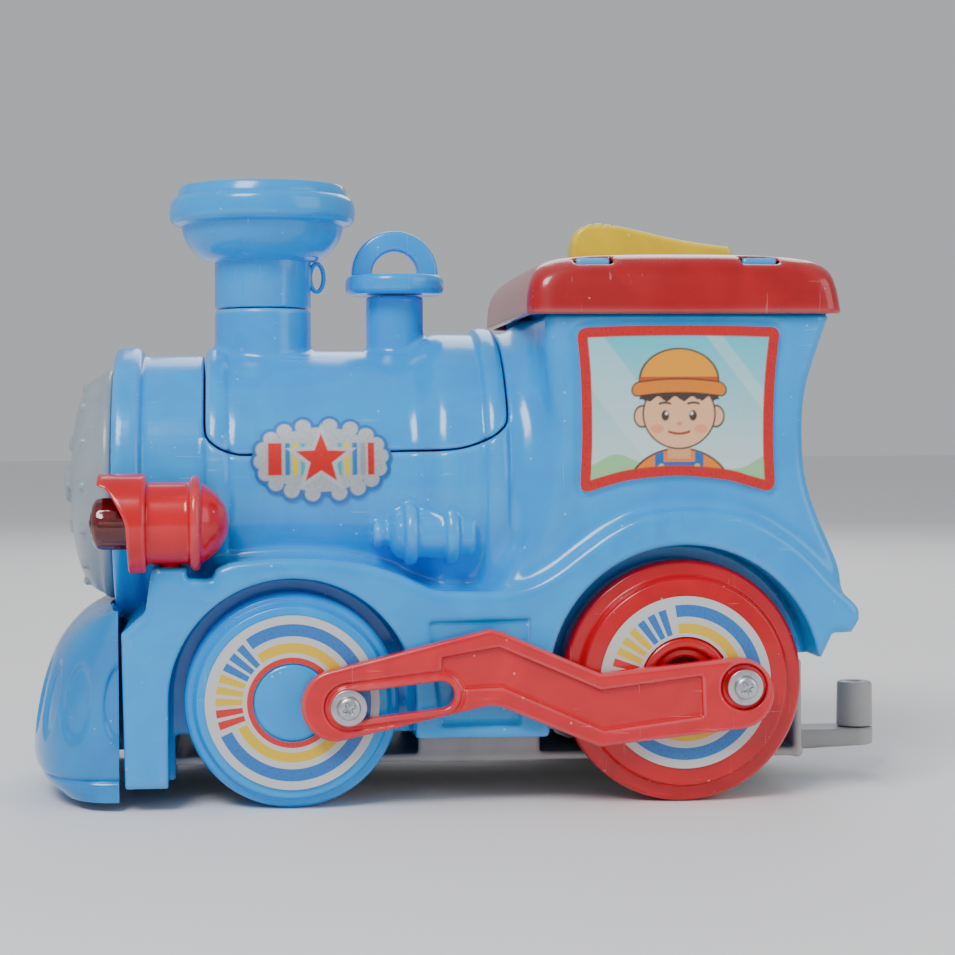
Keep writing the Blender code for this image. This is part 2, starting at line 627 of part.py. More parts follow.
def boiler_cover():
    """The clip-on top of the boiler, with the foot of the funnel and of the whistle."""
    front, back = COVER_FRONT_X, COVER_BACK_X
    inner = [(back, FLARED_R - WALL), (FLARE_BACK_X, FLARED_R - WALL), (FLARE_FRONT_X, COVERED_R - WALL),
             (front, COVERED_R - WALL)]
    profile = [*covered_profile(), *inner]
    cover = turned("boiler_top_cover", profile, "X", (0, 0, BOILER_Z), TURN_STEPS, "blue_plastic")
    foot_z = BOILER_Z + sqrt(COVERED_R**2 - FUNNEL_TUBE_R**2) - WALL / 2
    feet = ((FUNNEL_X, FUNNEL_TUBE_R, FUNNEL_SEAM_Z), (WHISTLE_X, WHISTLE_TUBE_R, WHISTLE_SEAM_Z))
    for x, radius, top in feet:
        profile = [(foot_z, 0), (foot_z, radius), (top, radius), (top, 0)]
        join(cover, turned("foot", profile, "Z", (x, 0, 0), 24))
    low = (front - 5 * MM, -60 * MM, 0)
    return cut(cover, block("under_cover", low, (back + 5 * MM, 60 * MM, BOILER_Z + SEAM_RISE + GAP)))


def funnel():
    base = FUNNEL_SEAM_Z + GAP
    outer = ((137.0, 17.5), (140.5, 20.4), (144.0, 21.2), (144.4, 23.4), (147.4, 24.0), (150.6, 23.2),
             (151.2, 21.9), (153.7, 21.5))
    inner = ((153.7, 20.0), (144.0, 19.0), (139.0, 15.0), (137.0, 6.0), (137.0, 0))
    profile = [(base, 0), (base, FUNNEL_TUBE_R), (134.6 * MM, FUNNEL_TUBE_R),
               *[(z * MM, r * MM) for z, r in (*outer, *inner)]]
    bowl = turned("funnel_bowl", profile, "Z", (FUNNEL_X, 0, 0), 24, "blue_plastic")
    eye = (FUNNEL_X + FUNNEL_TUBE_R + 1.4 * MM, 130.8 * MM)
    oval = [(x, eye[1] + (z - eye[1]) * 1.9) for x, z in circle(eye, 2.3 * MM, 12)]
    slot = [(x, eye[1] + (z - eye[1]) * 1.9) for x, z in circle(eye, 1.1 * MM, 12)]
    tab = cut(prism("eye", oval, -1 * MM, 1 * MM), prism("eye_slot", slot, -2 * MM, 2 * MM))
    return join(bowl, tab)


def whistle():
    base, hoop_r, hole_r = WHISTLE_SEAM_Z + GAP, 11.3 * MM, 5.9 * MM
    top = base + 5.0 * MM
    disc = turned("whistle_cap", [(base, 0), (base, 11.9 * MM), (base + 1.2 * MM, 12.8 * MM),
                                  (top - 1.2 * MM, 12.8 * MM), (top, 11.9 * MM), (top, 0)],
                  "Z", (WHISTLE_X, 0, 0), 24, "blue_plastic")
    centre = (WHISTLE_X, top + 0.4 * MM)
    hoop = [(WHISTLE_X + hoop_r, base + 2 * MM), *circle(centre, hoop_r, 16, 0, pi),
            (WHISTLE_X - hoop_r, base + 2 * MM)]
    hole = [(WHISTLE_X + hole_r, top), *circle((WHISTLE_X, top + 0.8 * MM), hole_r, 14, 0, pi),
            (WHISTLE_X - hole_r, top)]
    arch = cut(prism("hoop", hoop, -2.2 * MM, 2.2 * MM), prism("hoop_hole", hole, -5 * MM, 5 * MM))
    return join(disc, arch)


LAMP_Y = 42.0 * MM
LAMP_Z = FRONT_CROWN_Z + 8.4 * MM
LENS_R = 6.3 * MM


def lamp():
    """The left lamp: a round-backed housing with a hoop, and a hood drawn forward over the lens."""
    x0 = FRONT_X
    shape = ((-38.7, 0), (-38.7, 12.0), (-34.4, 12.0), (-34.4, 9.9), (-24.2, 9.9), (-24.2, 11.5), (-21.6, 11.5),
             (-21.6, 9.7), (-18.4, 7.6), (-16.0, 4.6), (-14.8, 0))
    profile = [(x * MM, r * MM) for x, r in shape]
    centre = (x0, -LAMP_Y, LAMP_Z)
    housing = turned("lamp_housing_left", profile, "X", centre, 20, "red_plastic")
    ring = ((-45.9, 12.0), (-38.0, 12.0), (-38.0, 10.2), (-45.9, 10.2))
    hood = turned("hood", [(x * MM, r * MM) for x, r in ring], "X", centre, 20)
    slant = [(x0 - 50 * MM, LAMP_Z - 20 * MM), (x0 - 38.2 * MM, LAMP_Z - 20 * MM), (x0 - 38.7 * MM, LAMP_Z),
             (x0 - 46.2 * MM, LAMP_Z + 11.2 * MM), (x0 - 50 * MM, LAMP_Z + 11.2 * MM)]
    join(housing, cut(hood, prism("below_hood", slant, -LAMP_Y - 20 * MM, -LAMP_Y + 20 * MM)))
    bore = [(x * MM, r) for x, r in ((-50, 0), (-50, LENS_R + CLEAR), (-29, LENS_R + CLEAR), (-29, 0))]
    boiler = [(-60 * MM, 0), (-60 * MM, FRONT_RING_R + 2 * GAP), (0, FRONT_RING_R + 2 * GAP), (0, 0)]
    cut(
        housing,
        turned("lens_bore", bore, "X", centre, 16),
        turned("boiler_room", boiler, "X", (x0, 0, BOILER_Z), TURN_STEPS),
    )
    lens_shape = ((-29.4, 0), (-29.4, 6.3), (-45.6, 6.3), (-47.2, 5.4), (-48.0, 3.4), (-48.2, 0))
    lens = turned("lamp_lens_left", [(x * MM, r * MM) for x, r in lens_shape], "X", centre, 16, "lens_red")
    mirrored(housing, "lamp_housing_right")
    mirrored(lens, "lamp_lens_right")


LEVER_PIVOT = (REAR_X + 18.0 * MM, 132.2 * MM)
LEVER_HALF_WIDTH = 4.0 * MM
LEVER_FRONT_X = REAR_X - 20.9 * MM
LEVER_PIN_R = 1.2 * MM
LUG_T = 2.6 * MM
BRAKE_TRAVEL = 4.6 * MM  # from the brake's foot to the great wheel's teeth


def rounded_rectangle(x_low, x_high, half_width, radius, z):
    """A level outline with quarter-circle corners of three steps each."""
    corners = ((x_high, half_width, 0), (x_low, half_width, 90), (x_low, -half_width, 180),
               (x_high, -half_width, 270))
    ring = []
    for x, y, start in corners:
        centre = (x - radius if x == x_high else x + radius, y - radius if y > 0 else y + radius)
        for step in range(4):
            a = radians(start + 30 * step)
            ring.append((centre[0] + radius * cos(a), centre[1] + radius * sin(a), z))
    return ring


def roof():
    levels = ((0, 0.0, 0.0, 5), (7.5, 0.6, 0.5, 6), (12.0, 3.4, 2.4, 7), (14.9, 8.8, 6.0, 9),
              (16.4, 17.0, 13.0, 10), (17.2, 26.0, 24.0, 10))
    front_x, back_x = REAR_X - 37.9 * MM, REAR_X + 39.7 * MM

    def rings(shrink, drop):
        return [rounded_rectangle(front_x + (run * MM + shrink), back_x - (run * 0.9 * MM + shrink),
                                  ROOF_HALF_WIDTH - side * MM - shrink, radius * MM - shrink / 2,
                                  ROOF_LOW_Z + rise * MM - drop)
                for rise, run, side, radius in levels]

    made = loft("cab_roof", rings(0, 0), "roof_red")
    inside = loft("roof_inside", [[(x, y, z - WALL) for x, y, z in rings(WALL, 0)[0]], *rings(WALL, WALL)])
    cut(made, inside)
    lug_low = LEVER_PIVOT[1] - 3 * MM
    for side in (-1, 1):
        low_y, high_y = sorted((side * (LEVER_HALF_WIDTH + GAP), side * (LEVER_HALF_WIDTH + GAP + LUG_T)))
        low = (LEVER_PIVOT[0] - 3 * MM, low_y, lug_low)
        join(made, block("lug", low, (LEVER_PIVOT[0] + 3 * MM, high_y, lug_low + 5 * MM)))
    slot_room = LEVER_HALF_WIDTH + GAP
    low = (LEVER_FRONT_X - 1.3 * MM, -slot_room, lug_low - 1 * MM)
    return cut(
        made,
        block("lever_slot", low, (LEVER_PIVOT[0] + 5 * MM, slot_room, 150 * MM)),
        rod_along_y("pin_hole", LEVER_PIVOT, LEVER_PIN_R + CLEAR, -9 * MM, 9 * MM, 12),
    )


def stop_lever():
    """The wedge-shaped lever in the roof, its pin, and the wire that it pushes down onto the great wheel."""
    points = ((-19.6, 142.4), (-16.6, 144.4), (-12.5, 144.6), (-4, 142.9), (6, 140.6), (14, 139.2),
              (20.5, 138.4), (21.6, 136.4), (21.6, 131.0), (18, 129.6), (12, 130.6))
    outline = [(LEVER_FRONT_X, 130.6 * MM), (LEVER_FRONT_X, 139.2 * MM), *[from_rear(*p) for p in points]]
    lever = prism("stop_lever", outline, -LEVER_HALF_WIDTH, LEVER_HALF_WIDTH, "yellow_plastic")
    wire = from_rear(-11.5, 130.6)
    cut(lever, rod_along_y("pivot_hole", LEVER_PIVOT, LEVER_PIN_R + CLEAR, -9 * MM, 9 * MM, 12))
    pin_half = LEVER_HALF_WIDTH + GAP + LUG_T
    rod_along_y("lever_pin", LEVER_PIVOT, LEVER_PIN_R, -pin_half, pin_half, 12, "zinc_steel")
    reach = GREAT_TIP_R + BRAKE_TRAVEL
    foot_z = KEY_AXIS[1] + sqrt(reach**2 - (wire[0] - KEY_AXIS[0]) ** 2)
    profile = [(foot_z, 0), (foot_z, 2.0 * MM), (foot_z + 2 * MM, 2.0 * MM), (foot_z + 2 * MM, 0.8 * MM),
               (wire[1] - GAP, 0.8 * MM), (wire[1] - GAP, 0)]
    rod = turned("brake_rod", profile, "Z", (wire[0], 0, 0), 10, "zinc_steel")
    low = (wire[0] - 1.5 * MM, GREAT_LOW_Y, foot_z)
    join(rod, block("brake_foot", low, (wire[0] + 1.5 * MM, 1 * MM, foot_z + 2 * MM)))
    hang("stop_lever_joint", (LEVER_PIVOT[0], 0, LEVER_PIVOT[1]), lever, rod)


# --- labels ---------------------------------------------------------------------------------------


def boiler_label():
    """The oval foil label, bent to the boiler's side."""
    centre_x, half_length, low_z, high_z, rows = FRONT_X + 7.6 * MM, 17.5 * MM, 73.0 * MM, 95.2 * MM, 10
    inner_r = COVERED_R + GAP
    start, end = [asin((z - BOILER_Z) / inner_r) for z in (low_z, high_z)]
    rings = []
    for row in range(rows + 1):
        share = row / rows
        turn = start + (end - start) * share
        half = half_length * max(1 - abs(2 * share - 1) ** 2.6, 0.12) ** (1 / 2.6)
        for_row = []
        outer_r = inner_r + LABEL_T
        for x, radius in ((-half, inner_r), (half, inner_r), (half, outer_r), (-half, outer_r)):
            for_row.append((centre_x + x, -radius * cos(turn), BOILER_Z + radius * sin(turn)))
        rings.append(for_row)
    mirrored(loft("boiler_label_left", rings, "label_foil"), "boiler_label_right")


def cab_label():
    """The window label: a frame with concave sides on the cab's side wall."""
    corners = ((-25.9, 113.9), (-25.2, 115.3), (-23.3, 115.8), (-1.4, 116.1), (21.9, 115.7), (23.4, 115),
               (23.8, 112.9), (22.6, 105.0), (22.1, 96.6), (22.1, 87.0), (22.4, 78.0), (21.6, 76.0), (19.4, 75.8),
               (10.2, 78.6), (-1.4, 79.6), (-12.5, 78.6), (-22.5, 75.8), (-24.6, 76.0), (-25.3, 77.6),
               (-24.8, 87.0), (-24.8, 96.0), (-25.2, 105.0))
    outline = [from_rear(*p) for p in corners]
    near = -CAB_HALF_WIDTH - GAP
    mirrored(prism("cab_label_left", outline, near - LABEL_T, near, "label_paper"), "cab_label_right")


# --- wheels and rods ------------------------------------------------------------------------------

BOSS_R = 3.4 * MM
FRONT_CAP_R = 9.3 * MM
REAR_HUB_R = 10.9 * MM
LABEL_R = 20.9 * MM
HUB_RECESS_R = 5.8 * MM
HUB_RECESS_Y = 40.0 * MM
AXLE_END_FRONT_Y = 42.4 * MM
AXLE_END_REAR_Y = HUB_RECESS_Y - GAP


def wheel(name, axle, radius, face_r, finish, pin, hub):
    """A left wheel turned about its axle: flat face, stepped rim, and the crank pin standing on the face."""
    face, back = -WHEEL_FACE_Y, -WHEEL_BACK_Y
    rim_r = face_r + 0.6 * MM
    profile = [*hub, (face, face_r), (face + 0.8 * MM, rim_r), (face + 2.6 * MM, rim_r),
               (face + 3.2 * MM, radius - 0.8 * MM), (face + 4.0 * MM, radius), (back, radius),
               (back, radius - 3 * MM), (back + 1.4 * MM, 5 * MM), (back + 1.4 * MM, AXLE_R + CLEAR)]
    made = turned(name, [*profile, *blind_bore(hub)], "Y", (axle[0], 0, axle[1]), 28, finish)
    boss = rod_along_y("boss", pin, BOSS_R, -ROD_INNER_Y + GAP, face + 2 * MM, 20)
    post = rod_along_y("post", pin, PIN_R, -ROD_OUTER_Y, face + 2 * MM, 20)
    return join(made, boss, post)


def blind_bore(hub):
    """The axle's bore: closed behind a capped hub, open into a recessed one."""
    if hub[0][1] == 0:
        return [(-AXLE_END_FRONT_Y - GAP, AXLE_R + CLEAR), (-AXLE_END_FRONT_Y - GAP, 0)]
    return []


def wheelset(end, axle, radius, face_r, finish, pin, hub, inner_label_r):
    made = wheel(f"{end}_wheel_left", axle, radius, face_r, finish, pin, hub)
    label = turned(f"{end}_wheel_label_left",
                   [(-WHEEL_FACE_Y - GAP, inner_label_r), (-WHEEL_FACE_Y - GAP, LABEL_R),
                    (-WHEEL_FACE_Y - GAP - LABEL_T, LABEL_R), (-WHEEL_FACE_Y - GAP - LABEL_T, inner_label_r)],
                   "Y", (axle[0], 0, axle[1]), 28, "label_paper")
    cut(label, rod_along_y("boss_room", pin, BOSS_R + CLEAR, -60 * MM, -40 * MM, 20))
    seat = -ROD_OUTER_Y - GAP
    head = seat - WASHER_T
    top = head - SCREW_HEAD_T
    profile = [(seat, 0), (seat, WASHER_R), (head, WASHER_R - 0.2 * MM), (head, SCREW_HEAD_R),
               ((head + top) / 2, SCREW_HEAD_R), (top, SCREW_HEAD_R / 2), (top, 0)]
    screw = turned(f"{end}_crank_screw_left", profile, "Y", (pin[0], 0, pin[1]), 14, "zinc_steel")
    rights = [mirrored(piece, piece.name.replace("left", "right")) for piece in (made, label, screw)]
    hang(f"{end}_axle_joint", (axle[0], 0, axle[1]), made, label, screw, *rights)


def running_gear():
    face = -WHEEL_FACE_Y
    cap = [(face - GAP - LABEL_T, 0), (face - GAP - LABEL_T, FRONT_CAP_R - 0.4 * MM), (face, FRONT_CAP_R)]
    hub = [(-HUB_RECESS_Y, AXLE_R + CLEAR), (-HUB_RECESS_Y, HUB_RECESS_R),
           (face + 0.6 * MM, HUB_RECESS_R + 0.6 * MM), (face + 0.6 * MM, 8.1 * MM),
           (face - 0.6 * MM, 8.6 * MM), (face - 0.6 * MM, REAR_HUB_R - 0.5 * MM), (face, REAR_HUB_R)]
    front_face_r, rear_face_r = FRONT_WHEEL_R - 3.2 * MM, REAR_WHEEL_R - 4.8 * MM
    wheelset("front", FRONT_AXLE, FRONT_WHEEL_R, front_face_r, "blue_plastic", FRONT_PIN, cap,
             FRONT_CAP_R + CLEAR)
    wheelset("rear", REAR_AXLE, REAR_WHEEL_R, rear_face_r, "red_plastic", REAR_PIN, hub, REAR_HUB_R + CLEAR)
    half = AXLE_END_FRONT_Y
    front = rod_along_y("front_axle", FRONT_AXLE, AXLE_R, -half, half, 20, "zinc_steel")
    half = AXLE_END_REAR_Y
    rear = rod_along_y("rear_axle", REAR_AXLE, AXLE_R, -half, half, 20, "zinc_steel")
    shank, depth = 1.0 * MM, 6.0 * MM
    for side in (-1, 1):
        low_y, high_y = sorted((side * (half - depth - GAP), side * 45 * MM))
        cut(rear, rod_along_y("tapped_hole", REAR_AXLE, shank + CLEAR, low_y, high_y, 10))
    seat = -HUB_RECESS_Y - GAP
    head = seat - 0.8 * MM
    profile = [(depth - half, 0), (depth - half, shank), (seat, shank), (seat, 4.4 * MM), (head, 4.2 * MM),
               (head, SCREW_HEAD_R), (head - 0.8 * MM, SCREW_HEAD_R), (head - 1.6 * MM, SCREW_HEAD_R / 2),
               (head - 1.6 * MM, 0)]
    screw = turned("rear_hub_screw_left", profile, "Y", (REAR_AXLE[0], 0, REAR_AXLE[1]), 12, "zinc_steel")
    other = mirrored(screw, "rear_hub_screw_right")
    hang("front_axle_joint", (FRONT_AXLE[0], 0, FRONT_AXLE[1]), front)
    hang("rear_axle_joint", (REAR_AXLE[0], 0, REAR_AXLE[1]), rear, screw, other)


def side_rod():
    """The cranked side rod. Its front arm is placed from the front pin and its rear arm from the rear pin."""

    def front(x, z):
        return (FRONT_PIN[0] + x * MM, FRONT_PIN[1] + z * MM)

    def rear(x, z):
        return (REAR_PIN[0] + x * MM, REAR_PIN[1] + z * MM)

    front_end, rear_end = front(-2.6, 0.4), rear(-1.2, -1.6)
    outline = [
        *circle(front_end, ROD_END_R, 10, radians(99), radians(270)),
        front(33.0, -0.2),
        front(36.4, -0.4),
        rear(-35.0, -14.0),
        rear(-30.2, -13.4),
        *circle(rear_end, ROD_END_R, 12, radians(-82), radians(100)),
        rear(-34.8, 3.6),
        front(37.0, 17.4),
        front(34.0, 18.2),
    ]
    rod = prism("side_rod_left", outline, -ROD_OUTER_Y, -ROD_INNER_Y, "red_plastic")
    slot = [
        *circle(front(0, 0), SLOT_HALF_HEIGHT, 8, radians(96), radians(276)),
        *circle(front(22.0, 2.6), SLOT_HALF_HEIGHT, 8, radians(-84), radians(96)),
    ]
    pan = [front(30.0, 2.5), front(36.6, 3.2), rear(-34.0, -9.6), rear(-9.6, -6.4), rear(-10.0, 2.4),
           rear(-34.6, -0.6), front(36.0, 13.6), front(30.0, 12.6)]
    cut(
        rod,
        prism("slot", slot, -ROD_OUTER_Y - MM, -ROD_INNER_Y + MM),
        prism("pan", pan, -ROD_OUTER_Y - MM, -ROD_OUTER_Y + ROD_RECESS),
        rod_along_y("counterbore", REAR_PIN, 5.7 * MM, -ROD_OUTER_Y - MM, ROD_RECESS - ROD_OUTER_Y, 24),
        rod_along_y("pin_hole", REAR_PIN, PIN_R + CLEAR, -ROD_OUTER_Y - MM, -ROD_INNER_Y + MM, 20),
    )
    other = mirrored(rod, "side_rod_right")
    hang("left_rod_joint", (REAR_PIN[0], 0, REAR_PIN[1]), rod)
    hang("right_rod_joint", (REAR_PIN[0], 0, REAR_PIN[1]), other)


# --- clockwork ------------------------------------------------------------------------------------

GREAT_R = GREAT_TEETH * MODULE / 2
GREAT_TIP_R = GREAT_R + 0.85 * MODULE
SECOND_R = SECOND_TEETH * MODULE / 2
FIRST_STAGE = GREAT_R + SECOND_PINION_TEETH * MODULE / 2 + MESH_SLACK
LAST_STAGE = SECOND_R + AXLE_PINION_TEETH * MODULE / 2 + MESH_SLACK
BORE_R = ARBOR_R + CLEAR
GEAR_T = 2.4 * MM
PINION_EXTRA = 0.7 * MM  # how far each pinion stands out on both sides of its wheel
GREAT_LOW_Y = -9.0 * MM
SECOND_LOW_Y = -3.4 * MM


def second_axis():
    """Where the second arbor lies: at the right distance from both the winding arbor and the rear axle."""
    gap_x, gap_z = KEY_AXIS[0] - REAR_AXLE[0], KEY_AXIS[1] - REAR_AXLE[1]
    span = hypot(gap_x, gap_z)
    along = (LAST_STAGE**2 - FIRST_STAGE**2 + span**2) / (2 * span)
    off = sqrt(LAST_STAGE**2 - along**2)
    ux, uz = gap_x / span, gap_z / span
    return (REAR_AXLE[0] + along * ux - off * uz, REAR_AXLE[1] + along * uz + off * ux)


SECOND_AXIS = second_axis()
KEY_BASE_Y = CAB_HALF_WIDTH + 1.0 * MM
KEY_BORE_END_Y = CAB_HALF_WIDTH + 3.3 * MM


def gear_outline(centre, teeth, tooth_angle):
    """Teeth with straight flanks, one of them centred on tooth_angle."""
    pitch_r, pitch = teeth * MODULE / 2, 2 * pi / teeth
    root_r, tip_r = pitch_r - 1.05 * MODULE, pitch_r + 0.85 * MODULE
    outline = []
    for tooth in range(teeth):
        middle = tooth_angle + tooth * pitch
        for radius, share in ((root_r, -0.29), (tip_r, -0.10), (tip_r, 0.10), (root_r, 0.29)):
            a = middle + share * pitch
            outline.append((centre[0] + radius * cos(a), centre[1] + radius * sin(a)))
    return outline


def direction(start, end):
    return atan2(end[1] - start[1], end[0] - start[0])


def gear(name, centre, teeth, tooth_angle, low_y, high_y, bore):
    made = prism(name, gear_outline(centre, teeth, tooth_angle), low_y, high_y, "nylon_white")
    return cut(made, rod_along_y("bore", centre, bore, low_y - MM, high_y + MM, 16))


def spring_strip():
    """A flat spiral strip, as two edges wound side by side."""
    turns, per_turn, inner_r, pitch, thick = 5.5, 12, 4.0 * MM, 2.0 * MM, 0.7 * MM
    low_y, high_y = 1.0 * MM, 9.0 * MM
    rings = []
    for step in range(int(turns * per_turn) + 1):
        a = 2 * pi * step / per_turn
        radius = inner_r + pitch * step / per_turn
        near = (KEY_AXIS[0] + radius * cos(a), KEY_AXIS[1] + radius * sin(a))
        far = (KEY_AXIS[0] + (radius + thick) * cos(a), KEY_AXIS[1] + (radius + thick) * sin(a))
        rings.append([(near[0], low_y, near[1]), (far[0], low_y, far[1]), (far[0], high_y, far[1]),
                      (near[0], high_y, near[1])])
    return loft("mainspring", rings, "spring_steel")


def motor():
    arbor_end = PLATE_Y + PLATE_T + 1 * MM
    pillars = {
        "front": (KEY_AXIS[0] - 25.0 * MM, KEY_AXIS[1] - 8.0 * MM),
        "top": (KEY_AXIS[0] + 27.0 * MM, KEY_AXIS[1] + 14.0 * MM),
        "rear": (REAR_X + 13.0 * MM, REAR_AXLE[1] + 20.0 * MM),
        "bottom": (SECOND_AXIS[0] + 0.5 * MM, max(SECOND_AXIS[1] - 25.0 * MM, CHASSIS_TOP_Z + 6.0 * MM)),
    }
    around = [*pillars.values(), (REAR_AXLE[0], REAR_AXLE[1] - 2 * MM)]
    outline = hull([p for centre in around for p in circle(centre, 5.0 * MM, 8)])
    for side, low_y in (("left", -PLATE_Y - PLATE_T), ("right", PLATE_Y)):
        plate = prism(f"motor_plate_{side}", outline, low_y, low_y + PLATE_T, "zinc_steel")
        for centre, radius in ((KEY_AXIS, ARBOR_R), (SECOND_AXIS, ARBOR_R), (REAR_AXLE, AXLE_R)):
            cut(plate, rod_along_y("pivot_hole", centre, radius + CLEAR, low_y - MM, low_y + PLATE_T + MM, 16))
    inside = PLATE_Y - GAP
    for name, centre in pillars.items():
        rod_along_y(f"motor_pillar_{name}", centre, 2.4 * MM, -inside, inside, 12, "zinc_steel")
    post = (KEY_AXIS[0] - 18.6 * MM, KEY_AXIS[1] - 5.0 * MM)
    rod_along_y("spring_post", post, 1.6 * MM, 0.4 * MM, inside, 12, "zinc_steel")
    spring_strip()

    to_second = direction(KEY_AXIS, SECOND_AXIS)
    to_axle = direction(SECOND_AXIS, REAR_AXLE)
    great = gear("great_wheel", KEY_AXIS, GREAT_TEETH, to_second, GREAT_LOW_Y, GREAT_LOW_Y + GEAR_T, BORE_R)
    half_tooth = pi / SECOND_PINION_TEETH
    pinion = gear("second_pinion", SECOND_AXIS, SECOND_PINION_TEETH, to_second + pi + half_tooth,
                  GREAT_LOW_Y - PINION_EXTRA, GREAT_LOW_Y + GEAR_T + PINION_EXTRA, BORE_R)
    wheel_two = gear("second_wheel", SECOND_AXIS, SECOND_TEETH, to_axle, SECOND_LOW_Y, SECOND_LOW_Y + GEAR_T,
                     BORE_R)
    half_tooth = pi / AXLE_PINION_TEETH
    last = gear("axle_pinion", REAR_AXLE, AXLE_PINION_TEETH, to_axle + pi + half_tooth,
                SECOND_LOW_Y - PINION_EXTRA, SECOND_LOW_Y + GEAR_T + PINION_EXTRA, AXLE_R + CLEAR)
    second_arbor = rod_along_y("second_arbor", SECOND_AXIS, ARBOR_R, -arbor_end, arbor_end, 16, "zinc_steel")

    ratchet_teeth = 12
    points = []
    for tooth in range(ratchet_teeth):
        for radius, share in ((4.9 * MM, 0.05), (6.2 * MM, 0.9)):
            a = 2 * pi * (tooth + share) / ratchet_teeth
            points.append((KEY_AXIS[0] + radius * cos(a), KEY_AXIS[1] + radius * sin(a)))
    ratchet = prism("ratchet_wheel", points, -5.6 * MM, -3.8 * MM, "zinc_steel")
    cut(ratchet, rod_along_y("bore", KEY_AXIS, BORE_R, -7 * MM, -2 * MM))
    click_points = [(KEY_AXIS[0] + x * MM, KEY_AXIS[1] + z * MM) for x, z in
                    ((6.9, -1.0), (9.0, -2.4), (12.5, 7.0), (14.6, 9.4), (13.6, 11.6), (11.2, 11.4), (9.6, 8.0))]
    click = prism("ratchet_click", click_points, -5.9 * MM, -3.9 * MM, "zinc_steel")
    arbor = rod_along_y("winding_arbor", KEY_AXIS, ARBOR_R, -arbor_end, KEY_BORE_END_Y - GAP, 16, "zinc_steel")
    key = winding_key()
    hang("rear_axle_joint", (REAR_AXLE[0], 0, REAR_AXLE[1]), last)
    hang("second_arbor_joint", (SECOND_AXIS[0], 0, SECOND_AXIS[1]), second_arbor, pinion, wheel_two)
    hang("great_wheel_joint", (KEY_AXIS[0], 0, KEY_AXIS[1]), great, click)
    hang("winding_joint", (KEY_AXIS[0], 0, KEY_AXIS[1]), arbor, ratchet, key)


def winding_key():
    """A butterfly key: a boss over the arbor's end and two wings with finger holes."""
    base = KEY_BASE_Y
    boss = rod_along_y("winding_key", KEY_AXIS, 4.2 * MM, base, base + 6.5 * MM, 20, "zinc_steel")
    join(boss, block("wings", (KEY_AXIS[0] - 11.5 * MM, base + 3.6 * MM, KEY_AXIS[1] - 0.9 * MM),
                     (KEY_AXIS[0] + 11.5 * MM, base + 10.4 * MM, KEY_AXIS[1] + 0.9 * MM)))
    cut(boss, rod_along_y("key_bore", KEY_AXIS, BORE_R, base - MM, KEY_BORE_END_Y))
    for side in (-1, 1):
        x = KEY_AXIS[0] + side * 7.6 * MM
        profile = [(-3 * MM, 0), (-3 * MM, 1.9 * MM), (3 * MM, 1.9 * MM), (3 * MM, 0)]
        cut(boss, turned("finger_hole", profile, "Z", (x, base + 7.0 * MM, KEY_AXIS[1]), 12))
    return boss


for old in list(bpy.data.objects):
    bpy.data.objects.remove(old, do_unlink=True)
body_shells()
chassis()
cowcatcher()
smokebox_door()
boiler_cover()
funnel()
whistle()
lamp()
roof()
stop_lever()
boiler_label()
cab_label()
running_gear()
side_rod()
motor()
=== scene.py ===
import json

import bpy
import numpy as np
from mathutils import Euler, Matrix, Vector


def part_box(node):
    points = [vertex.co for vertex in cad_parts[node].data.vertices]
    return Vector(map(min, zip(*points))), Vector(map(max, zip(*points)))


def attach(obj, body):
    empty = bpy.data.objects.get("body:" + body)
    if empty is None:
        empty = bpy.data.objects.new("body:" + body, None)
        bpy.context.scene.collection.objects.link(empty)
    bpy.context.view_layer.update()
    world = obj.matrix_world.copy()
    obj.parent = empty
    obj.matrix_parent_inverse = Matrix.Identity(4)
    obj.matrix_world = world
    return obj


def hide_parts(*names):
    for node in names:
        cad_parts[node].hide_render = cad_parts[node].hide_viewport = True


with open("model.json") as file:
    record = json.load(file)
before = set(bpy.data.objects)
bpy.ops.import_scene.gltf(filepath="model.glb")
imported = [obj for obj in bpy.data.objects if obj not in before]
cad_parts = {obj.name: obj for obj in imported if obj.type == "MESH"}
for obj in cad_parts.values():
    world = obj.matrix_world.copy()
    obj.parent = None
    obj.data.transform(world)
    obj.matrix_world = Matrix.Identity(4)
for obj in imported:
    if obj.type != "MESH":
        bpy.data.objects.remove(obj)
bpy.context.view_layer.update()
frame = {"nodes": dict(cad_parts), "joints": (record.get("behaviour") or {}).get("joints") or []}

# --- Where it stands ------------------------------------------------------------------------------
# The engine stands on a plain pale table and is seen square to its left side, from a little ahead of
# the middle and just above the boiler's axis, in soft light from the front with one large lamp high
# on the left that puts the gloss on the moulded tops.


def standing(points, faces, name, grey):
    """A plain stage sheet from given corners, in one plain matt colour."""
    mesh = bpy.data.meshes.new(name)
    mesh.from_pydata(points, [], faces)
    sheet = bpy.data.objects.new(name, mesh)
    bpy.context.scene.collection.objects.link(sheet)
    paint = bpy.data.materials.new(name)
    paint.use_nodes = True
    shader = paint.node_tree.nodes["Principled BSDF"]
    shader.inputs["Base Color"].default_value = (grey, grey, grey, 1)
    shader.inputs["Roughness"].default_value = 0.85
    mesh.materials.append(paint)


standing([(-6, -6, 0), (6, -6, 0), (6, 6, 0), (-6, 6, 0)], [(0, 1, 2, 3)], "table_top", 0.86)

camera = bpy.data.objects.new("camera", bpy.data.cameras.new("camera"))
camera.location = (-0.05845, -0.54619, 0.09111)
camera.rotation_euler = Euler(np.radians((88.697, 0.300, -4.003)))
camera.data.sensor_width = 36
camera.data.lens = 79.16
camera.data.shift_x = 0.1
camera.data.clip_start = 0.02
bpy.context.scene.collection.objects.link(camera)
bpy.context.scene.camera = camera


